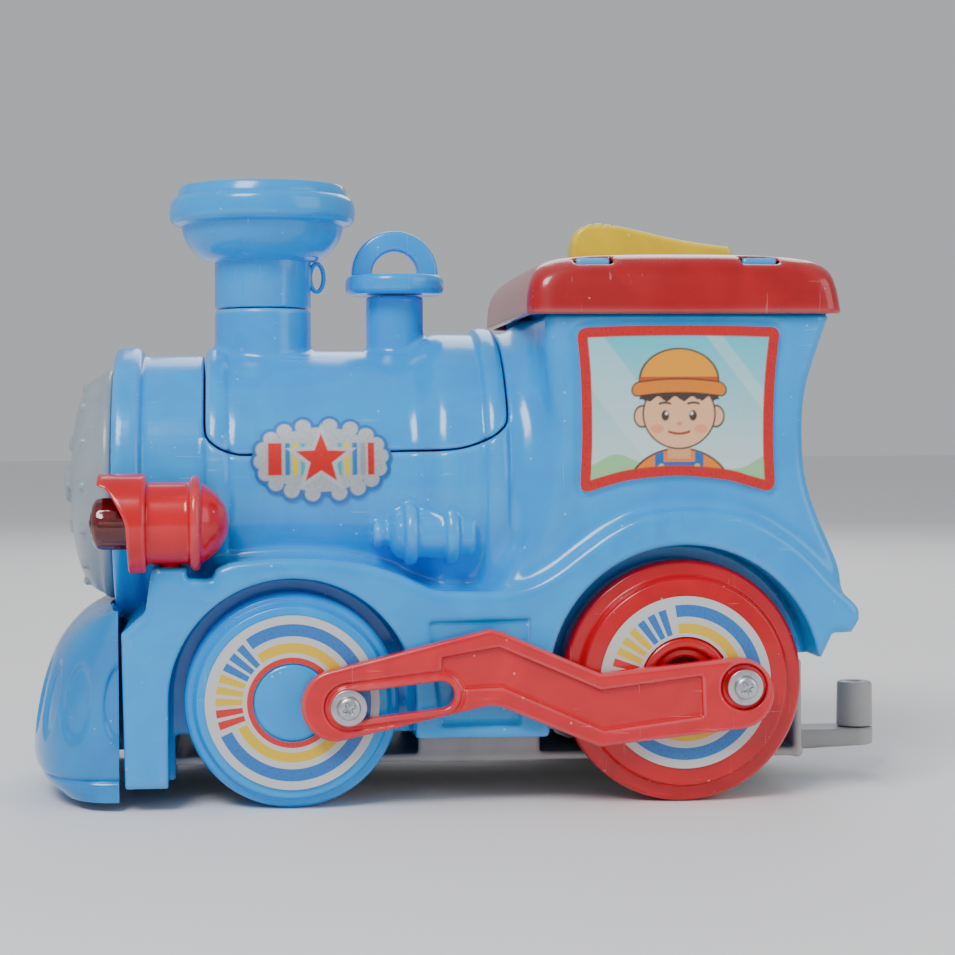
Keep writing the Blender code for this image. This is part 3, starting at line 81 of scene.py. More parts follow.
def soft_lamp(name, place, aim, width, power):
    """A square area lamp at a place, in metres, turned to face another place."""
    lamp = bpy.data.objects.new(name, bpy.data.lights.new(name, "AREA"))
    lamp.data.size, lamp.data.energy = width, power
    lamp.location = place
    ray = np.subtract(aim, place)
    lamp.rotation_euler = (np.arctan2(np.hypot(ray[0], ray[1]), -ray[2]), 0, np.arctan2(ray[1], ray[0]) - np.pi / 2)
    bpy.context.scene.collection.objects.link(lamp)


soft_lamp("high_left_lamp", (-0.45, -0.75, 0.95), (0, 0, 0.06), 0.45, 11.3)
soft_lamp("right_lamp", (0.9, -0.6, 0.45), (0, 0, 0.07), 0.7, 2.5)
soft_lamp("back_lamp", (0.2, 0.95, 0.8), (0, 0, 0.07), 0.7, 4.5)
sky = bpy.data.worlds.new("studio")
sky.use_nodes = True
sky.node_tree.nodes["Background"].inputs["Color"].default_value = (0.93, 0.95, 1.0, 1)
sky.node_tree.nodes["Background"].inputs["Strength"].default_value = 0.5
bpy.context.scene.world = sky

# --- The body shells ------------------------------------------------------------------------------
# The boiler, cab, fenders and wheel wells are one hollow moulding in sky-blue plastic with 2 mm walls,
# split down the middle into a left and a right half. The walls flow into each other with wide fillets,
# and every edge is rounded by the mould. Sizes are in mm, and x is measured back from the front axle.

MM = 0.001
places = {j["name"]: np.array(j["pos_m"]) / MM for j in frame["joints"]}
AXLE_X = places["front_axle_turn"][0]  # the origin of x, in the frame
FRONT_Z = places["front_axle_turn"][2]
BACK_X = places["rear_axle_turn"][0] - AXLE_X
BACK_Z = places["rear_axle_turn"][2]
BOILER_Z = 77.5
WALL = 2.0
CAB_HALF, FENDER_HALF = 42.5, 46.0  # from the middle to the outer faces
CAB_TOP = 118.5
FUNNEL_X, WHISTLE_X = -5.8, 28.4
AXLES = ((0, FRONT_Z), (BACK_X, BACK_Z))
KEY_X = places["winding_turn"][0] - AXLE_X
KEY_Z = places["winding_turn"][2]
BOTH = (("left", 1), ("right", -1))  # each side, and what y is multiplied by to go there from the left


def socket(tree, kind, inputs=(), **settings):
    """A new node with its settings, and with each named input set to a value or linked to a socket."""
    made = tree.nodes.new(kind)
    for key, value in settings.items():
        setattr(made, key, value)
    for key, value in dict(inputs).items():
        if isinstance(value, bpy.types.NodeSocket):
            tree.links.new(value, made.inputs[key])
        else:
            made.inputs[key].default_value = value
    return made


def effect(name, **takes):
    """An empty shader node group, with the inputs' values given, that gives a colour, a roughness and a normal.
    Returns it, its inputs inside and the place in the object."""
    group = bpy.data.node_groups.new(name, "ShaderNodeTree")
    for label, value in takes.items():
        kind = "NodeSocketFloat" if isinstance(value, float) else "NodeSocketColor"
        group.interface.new_socket(label, in_out="INPUT", socket_type=kind).default_value = value
    for label, kind in (("Colour", "Color"), ("Roughness", "Float"), ("Normal", "Vector")):
        group.interface.new_socket(label, in_out="OUTPUT", socket_type=f"NodeSocket{kind}")
    at = socket(group, "ShaderNodeTexCoord").outputs["Object"]
    return group, group.nodes.new("NodeGroupInput").outputs, at


def give(tree, colour, rough, height, strength, distance):
    """Sends an effect's colour and roughness, and bumps of a height, to its outputs."""
    bump = socket(tree, "ShaderNodeBump", {"Height": height, "Strength": strength, "Distance": distance})
    out = tree.nodes.new("NodeGroupOutput").inputs
    for key, value in (("Colour", colour), ("Roughness", rough), ("Normal", bump.outputs[0])):
        tree.links.new(value, out[key])
    return tree


def noise(tree, at, scale, detail, distortion=0):
    """Cloudy noise, 0 to 1."""
    return socket(tree, "ShaderNodeTexNoise", {"Vector": at, "Scale": scale, "Detail": detail,
                                               "Distortion": distortion}).outputs["Fac"]


def streaks(tree, at, turn, scale, detail):
    """Noise drawn out along one direction of a turned place."""
    placed = socket(tree, "ShaderNodeMapping", {"Vector": at, "Rotation": turn, "Scale": scale})
    return noise(tree, placed.outputs[0], 1, detail)


def ramp(tree, value, low, high):
    """0 below low and 1 above high, smooth between them."""
    return socket(tree, "ShaderNodeMapRange", {"Value": value, "From Min": low, "From Max": high},
                  interpolation_type="SMOOTHSTEP").outputs["Result"]


def mixed(tree, share, a, b):
    """Colour a towards colour b by a share."""
    node = tree.nodes.new("ShaderNodeMix")
    node.data_type = "RGBA"
    for key, value in ((0, share), (6, a), (7, b)):
        if isinstance(value, bpy.types.NodeSocket):
            tree.links.new(value, node.inputs[key])
        else:
            node.inputs[key].default_value = value
    return node.outputs[2]


def reckoned(tree, way, a, b):
    """One sum on two values or sockets."""
    return socket(tree, "ShaderNodeMath", {0: a, 1: b}, operation=way).outputs[0]


def times(tree, a, b):
    """A product of two values or sockets."""
    return reckoned(tree, "MULTIPLY", a, b)


def linear(red, green, blue):
    """A colour read as 0 to 255 on a screen, as the linear values that a shader takes."""
    part = np.array((red, green, blue)) / 255
    part = np.where(part <= 0.04045, part / 12.92, ((part + 0.055) / 1.055) ** 2.4)
    return (*part.tolist(), 1.0)


def moulded_effect():
    """Injection-moulded plastic: slow colour clouds, flow swirls, rubbed edges, fine scuffs and settled dust."""
    tree, given, at = effect("moulded_skin", Colour=(1, 1, 1, 1), Deep=(0, 0, 0, 1), Rub=0.5, Gloss=0.2)
    cloud = noise(tree, at, 26, 3)
    swirl = noise(tree, at, 55, 2, 1.6)
    grain = noise(tree, at, 1700, 2)
    scuffs = streaks(tree, at, (0.3, 0.5, 0.35), (60, 900, 900), 4)
    marks = streaks(tree, at, (-0.2, -0.9, 0.1), (1100, 700, 45), 3)
    scratch = reckoned(tree, "MAXIMUM", ramp(tree, scuffs, 0.66, 0.72), ramp(tree, marks, 0.69, 0.74))
    scratch = times(tree, scratch, ramp(tree, cloud, 0.45, 0.62))
    specks = socket(tree, "ShaderNodeTexVoronoi", {"Vector": at, "Scale": 520, "Randomness": 1}).outputs
    size = socket(tree, "ShaderNodeSeparateColor", {"Color": specks["Color"]}).outputs["Red"]
    far = reckoned(tree, "SUBTRACT", specks["Distance"], times(tree, ramp(tree, size, 0.9, 1), 0.16))
    dust = reckoned(tree, "SUBTRACT", 1, ramp(tree, far, 0, 0.03))
    up = socket(tree, "ShaderNodeNewGeometry").outputs["Normal"]
    up = socket(tree, "ShaderNodeSeparateXYZ", {0: up}).outputs["Z"]
    film = times(tree, ramp(tree, up, 0.35, 1), ramp(tree, cloud, 0.35, 0.75))
    edge = ramp(tree, socket(tree, "ShaderNodeAttribute", attribute_name="edge").outputs["Fac"], 0.3, 0.9)
    rubbed = times(tree, times(tree, edge, given["Rub"]), ramp(tree, cloud, 0.3, 0.7))
    colour = mixed(tree, ramp(tree, swirl, 0.25, 0.8), given["Deep"], given["Colour"])
    pale = mixed(tree, 0.22, given["Colour"], (1, 1, 1, 1))
    rough = reckoned(tree, "MULTIPLY_ADD", cloud, 0.06)
    rough.node.inputs[2].default_value = -0.03
    rough = reckoned(tree, "ADD", rough, given["Gloss"])
    for mask, much, shade, dulled in ((rubbed, 1, pale, 0.2), (scratch, 0.4, pale, 0.25),
                                      (dust, 0.3, (0.85, 0.85, 0.83, 1), 0.3), (film, 0.06, pale, 0.08)):
        colour = mixed(tree, times(tree, mask, much), colour, shade)
        rough = reckoned(tree, "ADD", rough, times(tree, mask, dulled))
    height = reckoned(tree, "ADD", times(tree, swirl, 0.28), times(tree, grain, 0.035))
    height = reckoned(tree, "SUBTRACT", height, times(tree, scratch, 0.05))
    return give(tree, colour, rough, height, 0.35, 0.0004)


def finish_from(name, group, values, wired, fixed):
    """A material whose shader takes its changing inputs from an effect and its fixed ones directly."""
    paint = bpy.data.materials.new(name)
    paint.use_nodes = True
    tree = paint.node_tree
    shader = tree.nodes["Principled BSDF"]
    made = socket(tree, "ShaderNodeGroup", node_tree=group)
    for key, value in values.items():
        made.inputs[key].default_value = value
    for key, target in wired.items():
        tree.links.new(made.outputs[key], shader.inputs[target])
    for key, value in fixed.items():
        shader.inputs[key].default_value = value
    return paint


MOULDED = moulded_effect()
SKIN = {"Colour": "Base Color", "Roughness": "Roughness", "Normal": "Normal"}


def plastic(name, colour, deep, gloss=0.2, rub=0.35, coat=0.35):
    """Glossy moulded plastic in a colour, with a deeper colour in its clouds."""
    return finish_from(name, MOULDED, {"Colour": linear(*colour), "Deep": linear(*deep), "Gloss": gloss, "Rub": rub},
                       SKIN, {"Coat Weight": coat, "Coat Roughness": 0.07, "IOR": 1.5})


sky_blue = plastic("sky_blue_plastic", (0, 162, 240), (0, 151, 232), coat=0.2)


def flowing(points, steps=8):
    """A smooth curve through points: each stretch is a cubic that leaves along the line between its neighbours."""
    p = np.asarray(points, float)
    slope = np.gradient(p, axis=0)
    t = np.linspace(0, 1, steps, endpoint=False)[None, :, None]
    a, b, da, db = p[:-1, None], p[1:, None], slope[:-1, None], slope[1:, None]
    curve = (2 * t**3 - 3 * t**2 + 1) * a + (t**3 - 2 * t**2 + t) * da + (3 * t**2 - 2 * t**3) * b + (t**3 - t**2) * db
    return [*curve.reshape(-1, p.shape[1]).tolist(), p[-1].tolist()]


def outline_distance(outline, x, z):
    """Distance to the nearest edge of a closed outline. It is negative inside, where a ray to one side crosses the
    outline an odd number of times."""
    x, z = np.broadcast_arrays(x, z)
    start = np.asarray(outline, float)
    along = np.roll(start, -1, 0) - start
    keep = np.hypot(*along.T) > 1e-6
    start, along = start[keep], along[keep]
    px, pz = x[..., None] - start[:, 0], z[..., None] - start[:, 1]
    share = np.clip((px * along[:, 0] + pz * along[:, 1]) / (along**2).sum(1), 0, 1)
    gap = np.hypot(px - share * along[:, 0], pz - share * along[:, 1]).min(-1)
    spans = (pz >= 0) != (pz >= along[:, 1])
    rise = np.where(along[:, 1] == 0, 1, along[:, 1])
    odd = (spans & (px < along[:, 0] * pz / rise)).sum(-1) % 2 == 1
    return np.where(odd, -gap, gap)


def turned_distance(profile, along, radius):
    """Distance to a turned solid, whose profile is (place on the axis, radius), read from a table fine in radius."""
    profile, fineness = np.asarray(profile, float), 0.2
    whole = np.vstack([profile, profile[::-1] * (1, -1)])
    table = outline_distance(whole, along.reshape(-1, 1), np.arange(0, radius.max() + 3 * fineness, fineness))
    row = np.arange(along.size).reshape(along.shape)
    place = radius / fineness
    low = place.astype(int)
    share = place - low
    return table[row, low] * (1 - share) + table[row, low + 1] * share


def common(a, b, r):
    """Where both solids are, with the edge between them rounded to radius r."""
    return np.minimum(np.maximum(a, b) + r, 0) + np.hypot(np.maximum(a + r, 0), np.maximum(b + r, 0)) - r


def joined(a, b, r):
    """Either solid, with a hollow fillet of radius r where they meet."""
    return np.maximum(r, np.minimum(a, b)) - np.hypot(np.maximum(r - a, 0), np.maximum(r - b, 0))


def brick(x, y, z, low, high, r):
    """A rectangular block with edges rounded to radius r."""
    d = [np.abs(v - (a + b) / 2) - (b - a) / 2 + r for v, a, b in zip((x, y, z), low, high)]
    outside = np.sqrt(sum(np.maximum(v, 0) ** 2 for v in d))
    return outside + np.minimum(np.maximum(np.maximum(d[0], d[1]), d[2]), 0) - r


def skin(field, low, high, step):
    """The surface where a field of distances passes 0. Each cell of a grid that it crosses gets one point, first the
    mean of the crossings on the cell's edges and then moved down the slope onto the surface. Each crossed edge gets
    one face between its four cells. Returns points, faces, normals, and how sharply the surface bulges, 0 to 1."""
    axes = [np.arange(a, b + step, step) for a, b in zip(low, high)]
    value = field(*np.meshgrid(*axes, indexing="ij", sparse=True))
    shape = np.array(value.shape)
    ids, spots, quads = [], [], []
    for axis in range(3):
        u, v = (axis + 1) % 3, (axis + 2) % 3
        near = np.take(value, range(shape[axis] - 1), axis)
        far = np.take(value, range(1, shape[axis]), axis)
        where = np.argwhere((near < 0) != (far < 0))
        a, b = near[tuple(where.T)], far[tuple(where.T)]
        spot = where.astype(float)
        spot[:, axis] += a / (a - b)
        ring = []
        for du, dv in ((-1, -1), (0, -1), (0, 0), (-1, 0)):
            cell = where.copy()
            cell[:, u] += du
            cell[:, v] += dv
            ring.append(np.ravel_multi_index(cell.T, shape))
        ring = np.stack(ring, 1)
        ids.append(ring.reshape(-1))
        spots.append(np.repeat(spot, 4, 0))
        quads.append(np.where((a < 0)[:, None], ring, ring[:, ::-1]))
    used, back, count = np.unique(np.concatenate(ids), return_inverse=True, return_counts=True)
    spots = np.concatenate(spots)
    points = np.stack([np.bincount(back, spots[:, k]) / count for k in range(3)], 1)
    faces = np.searchsorted(used, np.concatenate(quads))
    slopes = np.gradient(value)
    bulge = sum(np.gradient(s, axis=k) for k, s in enumerate(slopes))

    def read(grid, at):
        """Values between the grid's points, mixed from the eight corners of each point's cell."""
        base = np.clip(np.floor(at).astype(int), 0, shape - 2)
        share = at - base
        total = 0
        for corner in np.ndindex(2, 2, 2):
            part = np.prod(np.where(corner, share, 1 - share), 1)
            total = total + grid[tuple((base + corner).T)] * part
        return total

    for _ in range(2):
        slope = np.stack([read(s, points) for s in slopes], 1)
        move = slope * (read(value, points) / np.maximum((slope**2).sum(1), 0.05 * step**2))[:, None]
        points = points - np.clip(move, -0.4, 0.4)
    slope = np.stack([read(s, points) for s in slopes], 1)
    normals = slope / np.maximum(np.linalg.norm(slope, axis=1, keepdims=True), 1e-9)
    edge = np.clip(read(bulge, points) / step**2 * 0.9, 0, 1)
    return points * step + np.array([a[0] for a in axes]), faces, normals, edge


def piece(name, points, faces, paint, body, node, slot, normals=None, edge=None, inks=None):
    """A mesh from points in mm, x from the front axle, that rides on a body and stands for a CAD node. A printed one
    has a colour at each corner of its faces, and is shaded flat."""
    mesh = bpy.data.meshes.new(name)
    points = (np.asarray(points, float) + (AXLE_X, 0, 0)) * MM
    mesh.from_pydata(points, [], faces if isinstance(faces, list) else faces.tolist())
    if inks is not None:
        ink = mesh.color_attributes.new("ink", "FLOAT_COLOR", "CORNER")
        ink.data.foreach_set("color", np.asarray(inks, np.float32).reshape(-1))
    if edge is not None:
        mesh.attributes.new("edge", "FLOAT", "POINT").data.foreach_set("value", np.asarray(edge, np.float32))
    mesh.materials.append(paint)
    mesh.polygons.foreach_set("use_smooth", [inks is None] * len(mesh.polygons))
    if normals is not None:
        mesh.normals_split_custom_set_from_vertices(normals)
    mesh.update()
    made = bpy.data.objects.new(name, mesh)
    bpy.context.scene.collection.objects.link(made)
    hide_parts(node)
    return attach(made, body)


def moulding(name, cut, paint, node, slot, body="locomotive"):
    """A piece from a field's surface."""
    points, faces, normals, edge = cut
    piece(name, points, faces, paint, body, node, slot, normals, edge)


def both_sides(name, cut, paint, slot, bodies=("locomotive", "locomotive")):
    """A left piece from a field's surface, and its mirror image on the right, with the faces turned back outwards."""
    points, faces, normals, edge = cut
    for (side, way), body in zip(BOTH, bodies):
        flip = (1, way, 1)
        moulding(f"{name}_{side}", (points * flip, faces[:, ::way], normals * flip, edge), paint, f"{name}_{side}",
                 slot, body)


FENDERS = [
    (-28.3, 5.5), (-28.3, 16.7), (123.2, 16.7), (126.2, 34.9), (128.8, 34.9), (131.7, 41.0), (136.4, 41.2),
    *flowing([(138.3, 44.2), (137.6, 47.6), (132.3, 52.6), (127.2, 58.0), (122.2, 62.5), (113.5, 68.0),
              (104.7, 70.6), (94.7, 71.2), (84.7, 69.9), (77.0, 66.4), (69.8, 61.4), (63.6, 56.8), (57.4, 53.6),
              (50.2, 52.2), (42.0, 52.2), (35.0, 52.6), (30.5, 54.2), (25.3, 56.6), (17.4, 59.0), (8.2, 60.3),
              (-0.9, 60.6), (-9.0, 60.2), (-14.8, 59.5)]),
    (-17.9, 58.3), (-19.1, 55.9), (-24.8, 55.9), (-24.8, 58.6), (-33.3, 58.6), (-34.9, 47.9), (-40.7, 42.9),
    (-40.0, 5.5),
]
CAB = [
    (50.2, 45), *flowing([(131.2, 45), (134.4, 51.5), (134.2, 57.3), (129.2, 69.2), (126.2, 78.7), (125.3, 89.7),
                          (125.9, 98.9), (128.0, 107), (132.0, 118.5)]), (132.6, 125), (61.8, 125),
    *flowing([(61.8, 118.5), (62.6, 103), (63.8, 92), (63.4, 84), (61.6, 76), (57.6, 63.2), (50.2, 53)]),
]


def hoop(start, end, base, rise):
    """A half-round hoop on a turned profile, with a small groove on both sides of it."""
    t = np.linspace(0, np.pi, 9)
    middle, half = (start + end) / 2, (end - start) / 2
    bulge = np.stack([middle - half * 0.93 * np.cos(t), base + rise * np.sin(t) ** 0.7], 1)
    return [(start - 0.3, base), (start, base - 0.35), *bulge.tolist(), (end, base - 0.35), (end + 0.3, base)]


BOILER = [
    (-43.5, 0), (-43.5, 33.8), (-42.9, 34.7), (-41.9, 35.0), (-38.0, 35.0), (-36.9, 34.6), (-36.3, 33.6),
    (-36.1, 32.8), (-21.2, 32.8), *hoop(-20.9, -14.8, 33.6, 1.3)[1:-1], (-14.4, 34.1), (28.6, 34.1),
    *flowing([(30.0, 34.15), (32.0, 34.8), (35.4, 37.2), (37.6, 38.2), (39.4, 38.4)], 4),
    *hoop(47.6, 53.7, 38.3, 1.7), (63.2, 38.4), (63.2, 0),
]
SEAM = [
    (-20.95, 140), (-20.95, 93), *flowing([(-20.8, 90.4), (-19.9, 88.6), (-17.2, 86.5), (-13.6, 85.2), (-9.9, 84.9),
                                           (8.0, 85.2), (26.7, 85.6), (39.3, 86.0), (45.2, 87.2), (49.7, 89.2),
                                           (52.6, 91.6), (53.6, 93.6)]),
    (53.75, 96), (53.75, 140),
]


def bent(start, corner, end, steps=6):
    """A quarter bend from one point to another, pulled towards the corner between them."""
    t = np.linspace(0, 1, steps)[:, None]
    start, corner, end = map(np.array, (start, corner, end))
    return (start * (1 - t) ** 2 + 2 * corner * t * (1 - t) + end * t**2).tolist()


WINDOW = [
    *flowing([(72.4, 76.0), (76.0, 77.1), (82.7, 78.7), (93.8, 79.6), (105.4, 78.6), (111.0, 77.1), (114.9, 76.0)]),
    *bent((114.9, 76.0), (117.5, 75.2), (117.7, 78.2)),
    *flowing([(117.7, 78.2), (117.3, 87.0), (117.4, 96.6), (117.9, 105.0), (118.8, 113.2)]),
    *bent((118.8, 113.2), (119.1, 115.6), (116.6, 115.6)),
    *flowing([(116.6, 115.6), (105.4, 115.9), (93.8, 116.0), (82.0, 115.9), (72.4, 115.6)]),
    *bent((72.4, 115.6), (69.2, 115.5), (69.4, 113.0)),
    *flowing([(69.4, 113.0), (70.1, 105.0), (70.4, 95.7), (70.4, 87.0), (70.0, 78.6)]),
    *bent((70.0, 78.6), (69.7, 75.3), (72.4, 76.0)),
]
PANEL = [(32.9, 44.9), (57.4, 45.3), (54.6, 20.0), (35.6, 20.0)]


def pump_profile():
    """The side tank's outline: knob, dome, hoop, barrel, hoop and end cap."""
    ball = [(23.9 + 4.0 * (1 - np.cos(t)), 6.4 * np.sin(t) ** 0.8) for t in np.linspace(0.35, np.pi / 2, 7)]
    return [(20.3, 0), (20.3, 2.8), (20.9, 3.4), (22.4, 3.4), (22.9, 2.9), *ball, *hoop(27.6, 31.2, 6.3, 1.5)[1:-1],
            (37.5, 6.3), *hoop(37.6, 41.4, 6.3, 1.4)[1:-1], (44.4, 6.0), (45.3, 5.2), (45.5, 4.4), (45.5, 0)]


def arch(x, z, centre_x, centre_z, radius):
    """A wheel arch: half a circle over the axle, with straight sides below it."""
    return np.where(z > centre_z, np.hypot(x - centre_x, z - centre_z), np.abs(x - centre_x)) - radius


def body_field(x, y, z):
    """The whole body moulding: outer form, less the hollow, with the wells' linings, less the openings."""
    across = np.abs(y)
    fenders = outline_distance(FENDERS, x, z)
    cab = outline_distance(CAB, x, z)
    boiler = turned_distance(BOILER, x, np.hypot(y, z - BOILER_Z))
    pump = turned_distance(pump_profile(), x, np.hypot(across - 32.8, z - 65.5))
    cab_form = common(common(cab, across - CAB_HALF, 3.2), z - CAB_TOP, 0.4)
    outer = joined(boiler, cab_form, 8)
    outer = joined(outer, pump, 0.9)
    outer = joined(outer, common(fenders, across - FENDER_HALF, 2.0), 3.2)
    window = outline_distance(WINDOW, x, z)
    groove = 0.4 * np.exp(-(((window - 1.1) / 0.55) ** 2))
    outer = outer + np.where(across > 40.5, groove, 0)
    low_fenders = np.where(z < 22, np.minimum(fenders, np.abs(x - 45) - 73.2), fenders)
    hollow = np.minimum(common(low_fenders + WALL, across - FENDER_HALF + 2.8, 1.0),
                        np.minimum(common(cab + WALL, across - CAB_HALF + WALL, 1.5), boiler + WALL))
    hollow = np.minimum(hollow, brick(x, y, z, (-38.0, -44, -9), (-30.3, 44, 20), 0.5))
    hollow = np.minimum(hollow, brick(x, y, z, (65.4, -40.4, 100), (123.4, 40.4, 130), 1.5))
    lip = np.maximum(common(cab + 0.9, across - CAB_HALF + 0.9, 2.4), np.abs(z - CAB_TOP) - 3)
    made = common(np.minimum(outer, lip), -hollow, 0.4)
    for (wheel_x, wheel_z), radius in zip(AXLES, (29.6, 33.2)):
        way = arch(x, z, wheel_x, wheel_z, radius)
        lining = np.maximum(common(way - WALL, np.abs(across - 37.5) - 7.5, 0.4), 15.2 - z)
        made = np.minimum(made, np.maximum(lining, outer))
        made = common(made, -common(way, 32 - across, 0.8), 0.7)
        made = np.maximum(made, 3.2 - np.hypot(x - wheel_x, z - wheel_z))
    panel = np.maximum(outline_distance(PANEL, x, z), 45.2 - across)
    made = common(made, -panel, 0.25)
    made = common(made, -np.maximum(x + 40, np.hypot(y, z - BOILER_Z) - 27.1), 0.5)
    opening = common(outline_distance(SEAM, x, z), BOILER_Z - z, 0.3)
    made = common(made, -opening, 0.35)
    clips = np.minimum(brick(x, across, z, (69.6, 38.2, 100), (78.0, 40.2, 132.6), 0.4),
                       brick(x, across, z, (110.6, 38.2, 100), (119.0, 40.2, 132.6), 0.4))
    return np.minimum(made, clips)


def left_body(x, y, z):
    """The left half, a little short of the middle, where a fine seam shows."""
    return common(body_field(x, y, z), y + 0.2, 0.25)


def right_body(x, y, z):
    """The right half, which also has the hole for the winding key's arbor."""
    return common(common(body_field(x, y, z), 0.2 - y, 0.25), 3.4 - np.hypot(x - KEY_X, z - KEY_Z), 0.3)


for side, field, low_y, high_y in (("left", left_body, -48, 1.5), ("right", right_body, -1.5, 48)):
    moulding(f"body_{side}", skin(field, (-46, low_y, 2), (141, high_y, 135), 0.8), sky_blue,
             f"body_shell_{side}", "blue_plastic")

# --- The boiler's top cover -----------------------------------------------------------------------
# A separate moulding in the same blue closes the top of the boiler from the middle hoop to the rear
# one. It snaps into the opening, which leaves a fine dark seam, and carries the feet of the funnel
# and of the whistle.


def cover_field(x, y, z):
    """The boiler's wall above the seam, with two round feet standing out of it."""
    outer = turned_distance(BOILER, x, np.hypot(y, z - BOILER_Z))
    funnel_foot = np.maximum(common(np.hypot(x - FUNNEL_X, y) - 12.45, z - 122.2, 0.5), 104 - z)
    whistle_foot = np.maximum(common(np.hypot(x - WHISTLE_X, y) - 7.45, z - 125.7, 0.5), 104 - z)
    made = joined(joined(outer, funnel_foot, 1.4), whistle_foot, 1.2)
    made = np.maximum(made, -common(outer + WALL, 126 - z, 0.1))
    return common(made, outline_distance(SEAM, x, z) + 0.4, 0.45)


moulding("boiler_cover", skin(cover_field, (-23, -42, 83), (56, 42, 128), 0.75), sky_blue, "boiler_top_cover",
         "blue_plastic")

# --- The funnel -----------------------------------------------------------------------------------
# A balloon funnel in blue: a short tube, a rounded bowl with a thick lip and a thin upright rim. It
# is pressed onto the cover's foot, where a fine seam shows, and has a small moulded eye under its bowl.


def eased(points, r, steps=3):
    """A line through points with rounded corners: each becomes a curve that starts r before it and ends r after."""
    p = np.asarray(points, float)
    if len(p) < 3:
        return p
    before, after = p[:-2] - p[1:-1], p[2:] - p[1:-1]
    cut = [np.minimum(r / np.maximum(np.linalg.norm(v, axis=1), 1e-9), 0.46)[:, None, None] for v in (before, after)]
    t = np.linspace(0, 1, steps + 1)[None, :, None]
    a, b = before[:, None] * cut[0], after[:, None] * cut[1]
    corner = p[1:-1, None] + a * (1 - t) ** 2 + b * t**2
    return np.vstack([p[:1], corner.reshape(-1, p.shape[1]), p[-1:]])


def turned(profile, axis, centre, turns=96):
    """A closed surface of revolution: each point of a profile (place on the axis, radius) swept round the axis."""
    profile = np.asarray(profile, float)
    a = np.linspace(0, 2 * np.pi, turns, endpoint=False)
    along, radius = profile[:, :1], profile[:, 1:]
    round_1, round_2 = radius * np.cos(a), radius * np.sin(a)
    along = along + 0 * a
    order = {"X": (along, round_1, round_2), "Y": (round_2, along, round_1), "Z": (round_1, round_2, along)}[axis]
    points = np.stack(order, -1).reshape(-1, 3) + centre
    row = np.arange(len(profile) - 1)[:, None] * turns
    here, after = np.arange(turns), (np.arange(turns) + 1) % turns
    faces = np.stack([row + here, row + after, row + turns + after, row + turns + here], -1).reshape(-1, 4)
    return closed(points, faces)


def closed(points, faces):
    """The same surface with points that coincide made one, faces that collapsed left out, and its outside out."""
    keys, index = np.unique(np.round(points, 4), axis=0, return_inverse=True)
    made = []
    for face in index.reshape(-1)[faces].tolist():
        face = [v for k, v in enumerate(face) if v != face[k - 1]]
        if len(face) > 2:
            made.append(face)
    a, b, c = (keys[[f[k] for f in made]] for k in range(3))
    d = keys[[f[-1] for f in made]]  # of a triangle this is c again, which adds nothing
    volume = (np.cross(a, b) * c).sum() + (np.cross(a, c) * d).sum()
    if volume < 0:
        made = [f[::-1] for f in made]
    return keys, made


def gathered(*parts):
    """Several surfaces as one list of points and one of faces."""
    points, faces, count = [], [], 0
    for p, f in parts:
        points.append(p)
        faces += [[v + count for v in face] for face in f]
        count += len(p)
    return np.vstack(points), faces


def crisp(made, degrees=32):
    """Keeps the edges sharper than so many degrees sharp in the shading."""
    made.data.set_sharp_from_angle(angle=np.radians(degrees))


def both_turned(name, made, paint, slot, degrees, body="locomotive"):
    """A left piece from points and faces, and its mirror image on the right, with sharp edges kept."""
    points, faces = made
    for side, way in BOTH:
        crisp(piece(f"{name}_{side}", points * (1, way, 1), [f[::way] for f in faces], paint, body,
                    f"{name}_{side}", slot), degrees)


def swept(path, section, closed_path=False):
    """A section (offset across the path, offset in y) carried along a path in x and z."""
    path, section = np.asarray(path, float), np.asarray(section, float)
    ahead = np.roll(path, -1, 0) - np.roll(path, 1, 0) if closed_path else np.gradient(path, axis=0)
    ahead = ahead / np.linalg.norm(ahead, axis=1, keepdims=True)
    out = np.stack([ahead[:, 1], -ahead[:, 0]], 1)
    spot = path[:, None] + out[:, None] * section[None, :, :1]
    points = np.stack([spot[..., 0], np.broadcast_to(section[:, 1], spot.shape[:2]), spot[..., 1]], -1)
    n, m = len(path), len(section)
    row = np.arange(n if closed_path else n - 1)[:, None] * m
    here, after = np.arange(m), (np.arange(m) + 1) % m
    faces = np.stack([row + here, row + after, (row + m + after) % (n * m), (row + m + here) % (n * m)], -1)
    faces = faces.reshape(-1, 4).tolist()
    if not closed_path:
        faces += [list(range(m))[::-1], list(range((n - 1) * m, n * m))]
    return points.reshape(-1, 3), faces


BOWL = [(122.5, 0), (122.5, 12.2), (122.9, 12.45), (134.4, 12.45),
        *flowing([(134.7, 13.4), (135.6, 15.6), (137.6, 18.1), (140.6, 20.1), (143.6, 21.0)], 4), (144.0, 21.9),
        *flowing([(144.2, 23.0), (145.4, 23.8), (147.4, 24.0), (149.6, 23.7), (150.7, 22.9)], 4), (151.2, 22.0),
        (153.2, 21.6), (153.7, 21.2), (153.7, 20.4), (153.3, 20.0), (144.0, 19.0),
        *flowing([(141.0, 17.2), (138.6, 13.0), (137.4, 6.0), (137.2, 0)], 4)]
t = np.linspace(0, 2 * np.pi, 40, endpoint=False)
eye_path = np.stack([8.2 + 1.75 * np.cos(t), 130.6 + 3.6 * np.sin(t)], 1)
t = np.linspace(0, 2 * np.pi, 14, endpoint=False)
eye_wire = np.stack([0.6 * np.cos(t), 0.9 * np.sin(t)], 1)
made = gathered(turned(BOWL, "Z", (FUNNEL_X, 0, 0), 128), swept(eye_path, eye_wire, True))
crisp(piece("funnel", *made, sky_blue, "locomotive", "funnel_bowl", "blue_plastic"))

